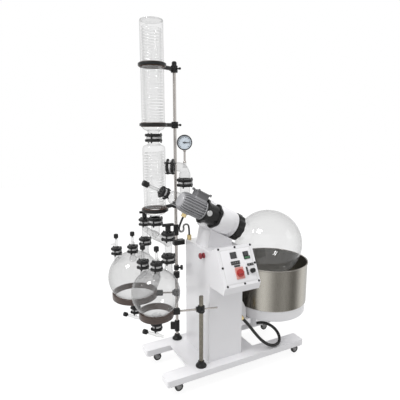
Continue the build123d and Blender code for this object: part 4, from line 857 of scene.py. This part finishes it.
ribs = rounded([(44, 648), (50.5, 650), (50.5, 780), (45, 799), (30, 807)], [1, 14, 10], 6)
cowl = rounded([(42, 780), (42, 800), (34, 808), (0, 808)], [3, 6])
origin, across, down, along = shifted(motor, 660)
top_place = origin, across, along, -down
origin, across, down, along = shifted(motor, 741.5)
under_place = origin, across, -along, down
BOX_MIDDLE = 38
piece("motor_shell", [turned(motor, ribs, 352, fins), turned(motor, cowl, 72),
                      band(motor, 40, 57, 648, 656, 2, 72),
                      slab(top_place, 66, 76, 56, 4, 1, centre=(0, BOX_MIDDLE)),
                      slab(under_place, 32, 32, 60, 4, 1)],
      motor_grey, replaces="motor_body", crease=30)
lugs = [slab(top_place, 13, 13, 14, 5, 2, 84, (side * 35, BOX_MIDDLE + end * 40))
        for side in (-1, 1) for end in (-1, 1)]
cover = [slab(top_place, 66, 76, 32, 5, 1, 55, (0, BOX_MIDDLE)),
         slab(top_place, 74, 84, 9, 6, 4, 85, (0, BOX_MIDDLE))]
piece("terminal_cover", cover + lugs, box_grey, replaces="terminal_box")
print("drive dressed")

# %% [markdown]
# ## Poles and rings
# Black cast bosses slide on the steel poles and hold the rings that steady the glass. A ring is a square
# profile with soft corners, turned about the glass, and a pad keeps it off the glass. The two lower rings
# are brown. A few loose fittings on the tall pole are turned rings and blocks too.

# %% Rings, arms, bosses and feet
TALL, SHORT, COLUMN_RINGS = (-227, 125), (-227, -225), 1000  # the condenser's rings are above this height
poles = {"tall": (TALL, 10), "short": (SHORT, 12.5)}
held = [(COLUMN, level, 66.3, 24, 8, "tall") for level in (1034, 1530, 1858)]
held += [((-478, 235), 440, 132.2, 36, 9, "tall"), ((-478, -155), 474, 84.6, 36, 9, "short")]
top_rings, low_rings, rods, fittings = [], [], [], []
grip = rounded([(3.5, 0), (3.5, 15), (7, 15), (7, 28), (0, 28)], 1.5)
for centre, level, inner, height, thickness, carrier in held:
    spot, pole = np.array(poles[carrier][0]), poles[carrier][1]
    outer, upper = inner + 5 + thickness, level > COLUMN_RINGS
    hub, middle = np.array([*centre, level]), np.array([*spot, level])
    way = np.append(unit(spot - np.array(centre)), 0)
    side = np.array([way[1], -way[0], 0])
    half = height / 2 - (4 if upper else 0)
    ring = band(stand(hub, UP), inner + 5, outer, -half, half, 2.5, 96)
    reach = np.linalg.norm(spot - np.array(centre)) - outer - 26
    arm = rod(stand(hub + way * (outer - 4), way), 12 if upper else 6, 0, reach, 1, 24)
    if upper:
        top_rings += [ring, arm]
    else:
        low_rings.append(ring)
        rods.append(arm)
        fittings.append(slab(stand(hub + way * (outer - 3), way), 30, 34, 40, 6, 4))
    fittings += [band(stand(middle - (0, 0, 20), UP), pole + 0.3, 21, 0, 40, 3, 40),
                 slab(stand(middle - way * 30, way), 26, 26, 30, 4, 2),
                 turned(stand(middle + side * 20, side), grip, 48, lobes(8, 0.12))]
    if carrier == "short":
        rods.append(rod(stand(middle + way * 20, way), 5, 0, 78, 1, 24))
for spot, pole in poles.values():
    fittings.append(turned(stand((*spot, 110), UP), rounded(
        [(33, 0), (33, 6), (25, 15), (19, 21), (19, 32), (pole + 0.3, 32)], 4), 56))
print("rings:", len(held))

# %% Loose fittings on the tall pole, and the poles themselves
ON_POLE = 10.3
tall, short = stand((*TALL, 0), UP), stand((*SHORT, 0), UP)
cap = rounded([(ON_POLE, 1876), (15, 1876), (15, 1896), (9, 1903), (0, 1903)], 3)
wing = rounded([(6, 0), (6, 16), (17, 16), (17, 29), (0, 31)], 2)
spare, block_way = np.array([*TALL, 565]), np.array([-0.888, 0.46, 0])
fittings += [
    band(tall, ON_POLE, 17, 165, 240, 3, 40), band(tall, ON_POLE, 17, 833, 903, 3, 40),
    box((-248, 102, 770), (-172, 148, 800), 8), turned(tall, cap, 32),
    band(stand(spare - (0, 0, 20), UP), ON_POLE, 21, 0, 40, 3, 40),
    band(stand(spare + (0, 0, 34), UP), ON_POLE, 17, 0, 30, 3, 40),
    turned(stand(spare + (10, -8, 49), (1, -0.8, 0.15)), wing, 48, lobes(8, 0.08)),
    slab(stand(np.array([*TALL, 203]) + block_way * 10, block_way), 24, 50, 34, 6, 3)]
piece("condenser_holders", top_rings, black_cast, replaces="condenser_rings")
piece("receiver_holders", low_rings, ring_rubber_painted_sheen, replaces="receiver_rings")
piece("holder_rods", rods, rod_steel)
piece("pole_castings", fittings, black_cast, replaces="pole_fittings")
piece("tall_pole", [rod(tall, 10, 110, 1900, 1, 32)], rod_steel, replaces="support_poles")
piece("short_rod", [rod(short, 12.5, 110, 554, 1.5, 32)], dark_steel)
print("fittings:", len(fittings))

# %% [markdown]
# ## Pressure gauge
# A dial gauge on a thin stem: black case and bezel, and a pale dial with marks over three quarters of a
# turn. Case, dial and marks are separate pieces, so that each has its own finish. The needle is the solid.

# %% Gauge
turn = math.radians(27)
gauge = (np.array([*BRANCH, 1430.0]), np.array([math.cos(turn), -math.sin(turn), 0]), np.array(UP, float),
         np.array([-math.sin(turn), -math.cos(turn), 0]))
shell = rounded([(0, -15), (40, -15), (44, -11), (44, 8), (36, 8)], 3)
piece("gauge_shell", [turned(gauge, shell, 64)], black, replaces="gauge_case")
bezel = closed([(44, 7), (44, 15), (38.5, 15), (38.5, 7)], 2)
piece("gauge_bezel", [turned(gauge, bezel, 64)], black)
stem_profile = rounded([(9, 1312), (9, 1320), (6, 1326), (6, 1376), (9, 1380), (9, 1390)], 2)
piece("gauge_stem", [turned(branch, stem_profile, 24)], rod_steel)
dial_pale = moulded("gauge_dial", (0.62, 0.7, 0.78), (0.72, 0.79, 0.86), 0.4, 600)
piece("gauge_dial", [turned(gauge, [(0, 9), (38.5, 9)], 64)], dial_pale)
DIAL, MARK_END = 9, 35.5
marks = []
for index, a in enumerate(np.linspace(math.radians(225), math.radians(-45), 28)):
    inner, half = (27, 1.1) if index % 3 == 0 else (31, 0.6)
    out, side = compass(a), compass(a + np.pi / 2)
    outline = np.array([out * inner - side * half, out * MARK_END - side * half,
                        out * MARK_END + side * half, out * inner + side * half])
    marks.append(lofted(gauge, [(outline, DIAL), (outline, DIAL + 0.3)]))
piece("gauge_marks", marks, black)
print("dial marks:", len(marks))

# %% [markdown]
# ## Control panel
# The lid is a folded plate with a raised middle, held by eight screws. On it sit two displays, a green
# window, keys, the red switch on its plate and a black dial. All are flat, so slabs with soft edges on the
# lid's own plane do, and the marks on the keys are plain bars.

# %% Lid, windows and keys
lean = math.radians(27.5)
lid = (np.array([-54.0, -346.36, 749.12]), np.array([1.0, 0, 0]),
       np.array([0, math.sin(lean), math.cos(lean)]), np.array([0, -math.cos(lean), math.sin(lean)]))
raised = [(oblong(200, 192, 7), 2.5), (oblong(198, 190, 7), 3.2), (oblong(188, 180, 5), 5)]
piece("lid_plate", [slab(lid, 236, 228, 3, 5, 1), lofted(lid, raised)], white, replaces="panel_lid")
# Painted shade: a thin grey band at the foot of the raised middle draws the shadow of its step.
piece("lid_shade_line", [slab(lid, 204, 196, 0.7, 8, 0.3, 2.8)], groove_shade_grey)
screws = []
for u, v in ((-106, 106), (1.5, 106), (107, 106), (-104, 0), (110, 0), (-99, -103), (13, -103), (108, -103)):
    spot = shifted(lid, 3, (u, v))
    screws.append(turned(spot, rounded([(6.6, 0), (6.6, 1), (5.4, 1), (5.4, 2.8), (0, 2.8)], 0.6), 24))
piece("lid_screws", screws, black_cast)
FACE, KEY_BASE = 5, 7.8
windows = {"left": (-21, 61, 40, 36), "right": (61, 60, 36, 26), "green": (65, 37, 41, 18)}
key_rows = [(-18, 18, 58, 20), (-12, -1, 37, 10), (76, -5, 41, 14), (46, -38, 10, 46)]
frames = [slab(lid, wide, high, 3, 1.5, 0.8, FACE, (u, v))
          for u, v, wide, high in [*windows.values(), *key_rows]]
piece("panel_frames", frames, black, replaces="panel_displays")
for name, finish in (("left", screen), ("right", screen), ("green", screen_green)):
    u, v, wide, high = windows[name]
    piece(f"panel_window_{name}", [slab(lid, wide - 6, high - 6, 0.6, 1, 0.3, KEY_BASE, (u, v))], finish)
keys = [slab(lid, 8, 10, 1.4, 1.5, 0.4, KEY_BASE, (u, 18)) for u in np.linspace(-42, 6, 5)]
keys += [slab(lid, 7, 3, 0.5, 1, 0.2, KEY_BASE, (u, -1)) for u in (-24, -12, 0)]
keys += [slab(lid, 13, 7, 1.2, 1.5, 0.4, KEY_BASE, (u, -5)) for u in (66, 86)]
keys += [slab(lid, 5, 6, 1.2, 1, 0.3, KEY_BASE, (46, v)) for v in (-54, -43, -32, -21)]
piece("panel_keys", keys, castor_grey)
piece("switch_base", [slab(lid, 54, 66, 4, 5, 1.2, FACE, (-5, -42))], plate_pink)
print("lid screws:", len(screws), "keys:", len(keys))

# %% Stop button
stop_place = stand((-172, -155, 770), (-1, 0, 0))
piece("stop_collar", [turned(stop_place, closed([(9.5, 0), (17, 0), (14, 12), (9.5, 12)], 2), 40)], red_dark)
mushroom = rounded([(0, 10), (8, 10), (8, 18), (18.5, 20), (18.5, 27), (11, 32), (0, 32.3)], [1, 2, 2, 3, 4])
piece("stop_cap", [turned(stop_place, mushroom, 48)], red_dark, "stop", "stop_button",
      crease=50)
print("stop button done")

# %% [markdown]
# ## The bath
# The pot is spun from stainless sheet and its rim is rolled over, so pot, rim and a thin duller lining are
# profiles turned about one axis. It sits in a painted pan on a bracket that slides on the cabinet's rails.

# %% Pot, pan and carriage
TANK_Y, SHELF_X, PAN_Z = -60, 91.3, 284
tank = stand((395, TANK_Y, 0), UP)
pot = rounded([(0, 357), (246, 357), (246, 623), (250, 626), (250, 633), (245, 633)], [8, 1.5, 1.5, 3], 5)
lining = rounded([(0, 358), (245, 358), (245, 633), (244, 628), (244, 362), (0, 359)], [2, 0.4, 1, 10], 6)
piece("bath_pot", [turned(tank, pot, 128)], bath_steel, "bath", "bath_tank", crease=50)
piece("bath_lining", [turned(tank, lining, 128)], lining_steel, "bath", crease=50)
rim = ball(3.6, -math.pi, math.pi, 13) + (246.6, 629.4)
piece("bath_rim", [turned(tank, rim, 128)], rod_steel, "bath")
gusset = np.array([(0, 0), (63.4, 0), (63.4, 68), (0, 186)], float)
carriage = [rod(tank, 240, PAN_Z, 357, [20, 3], 128, 7),
            box((SHELF_X, -138, 276), (371.3, 18, PAN_Z)), box((SHELF_X, -138, 276), (100.3, 18, 470))]
for side in (-1, 1):
    runner = TANK_Y + side * 55
    carriage.append(box((79.3, runner - 10, PAN_Z), (SHELF_X, runner + 10, 470)))
    place = (np.array([SHELF_X, TANK_Y + side * 66 + 4, PAN_Z]), np.array([1.0, 0, 0]), np.array(UP, float),
             np.array([0, -1.0, 0]))
    carriage.append(lofted(place, [(gusset, 0), (gusset, 8)]))
inlet_boss = rounded([(11, 0), (14, 0), (14, 20), (0, 20)], 2)
carriage += [turned(stand((246, -112, 213), (-1, 0, 0)), inlet_boss, 32),
             rod(stand((226, -112, 0), UP), 18, 199, PAN_Z, 3, 32)]
piece("bath_carrier", carriage, white, "bath", "bath_carriage")
print("bath dressed")

# %% [markdown]
# ## Castors
# Small swivel castors carry the base. Each wheel is a dark tyre on a grey moulded hub with a raised ring.
# A wheel is the same all round, so both are turned, and they are two pieces because they differ in finish.

# %% Wheels
hub = closed([(4.3, -6), (9, -8.6), (12, -8.6), (13, -6.5), (17.3, -6.5), (17.3, 6.5), (13, 6.5), (12, 8.6),
              (9, 8.6), (4.3, 6)], 0.8)
for front, y in (("front", -232.5), ("rear", 112.5)):
    for hand, x in (("left", -377), ("right", 489)):
        axle, corner = stand((x, y, 25), (0, 1, 0)), f"{front}_{hand}"
        tyre = band(axle, 17, 25, -9, 9, [1, 4, 4, 1], 48)
        piece(f"castor_tyre_{corner}", [tyre], tyre_dark, f"wheel_{corner}",
              f"castor_wheel_{corner}")
        piece(f"castor_hub_{corner}", [turned(axle, hub, 40)], hub_grey, f"wheel_{corner}")
print("castors dressed")
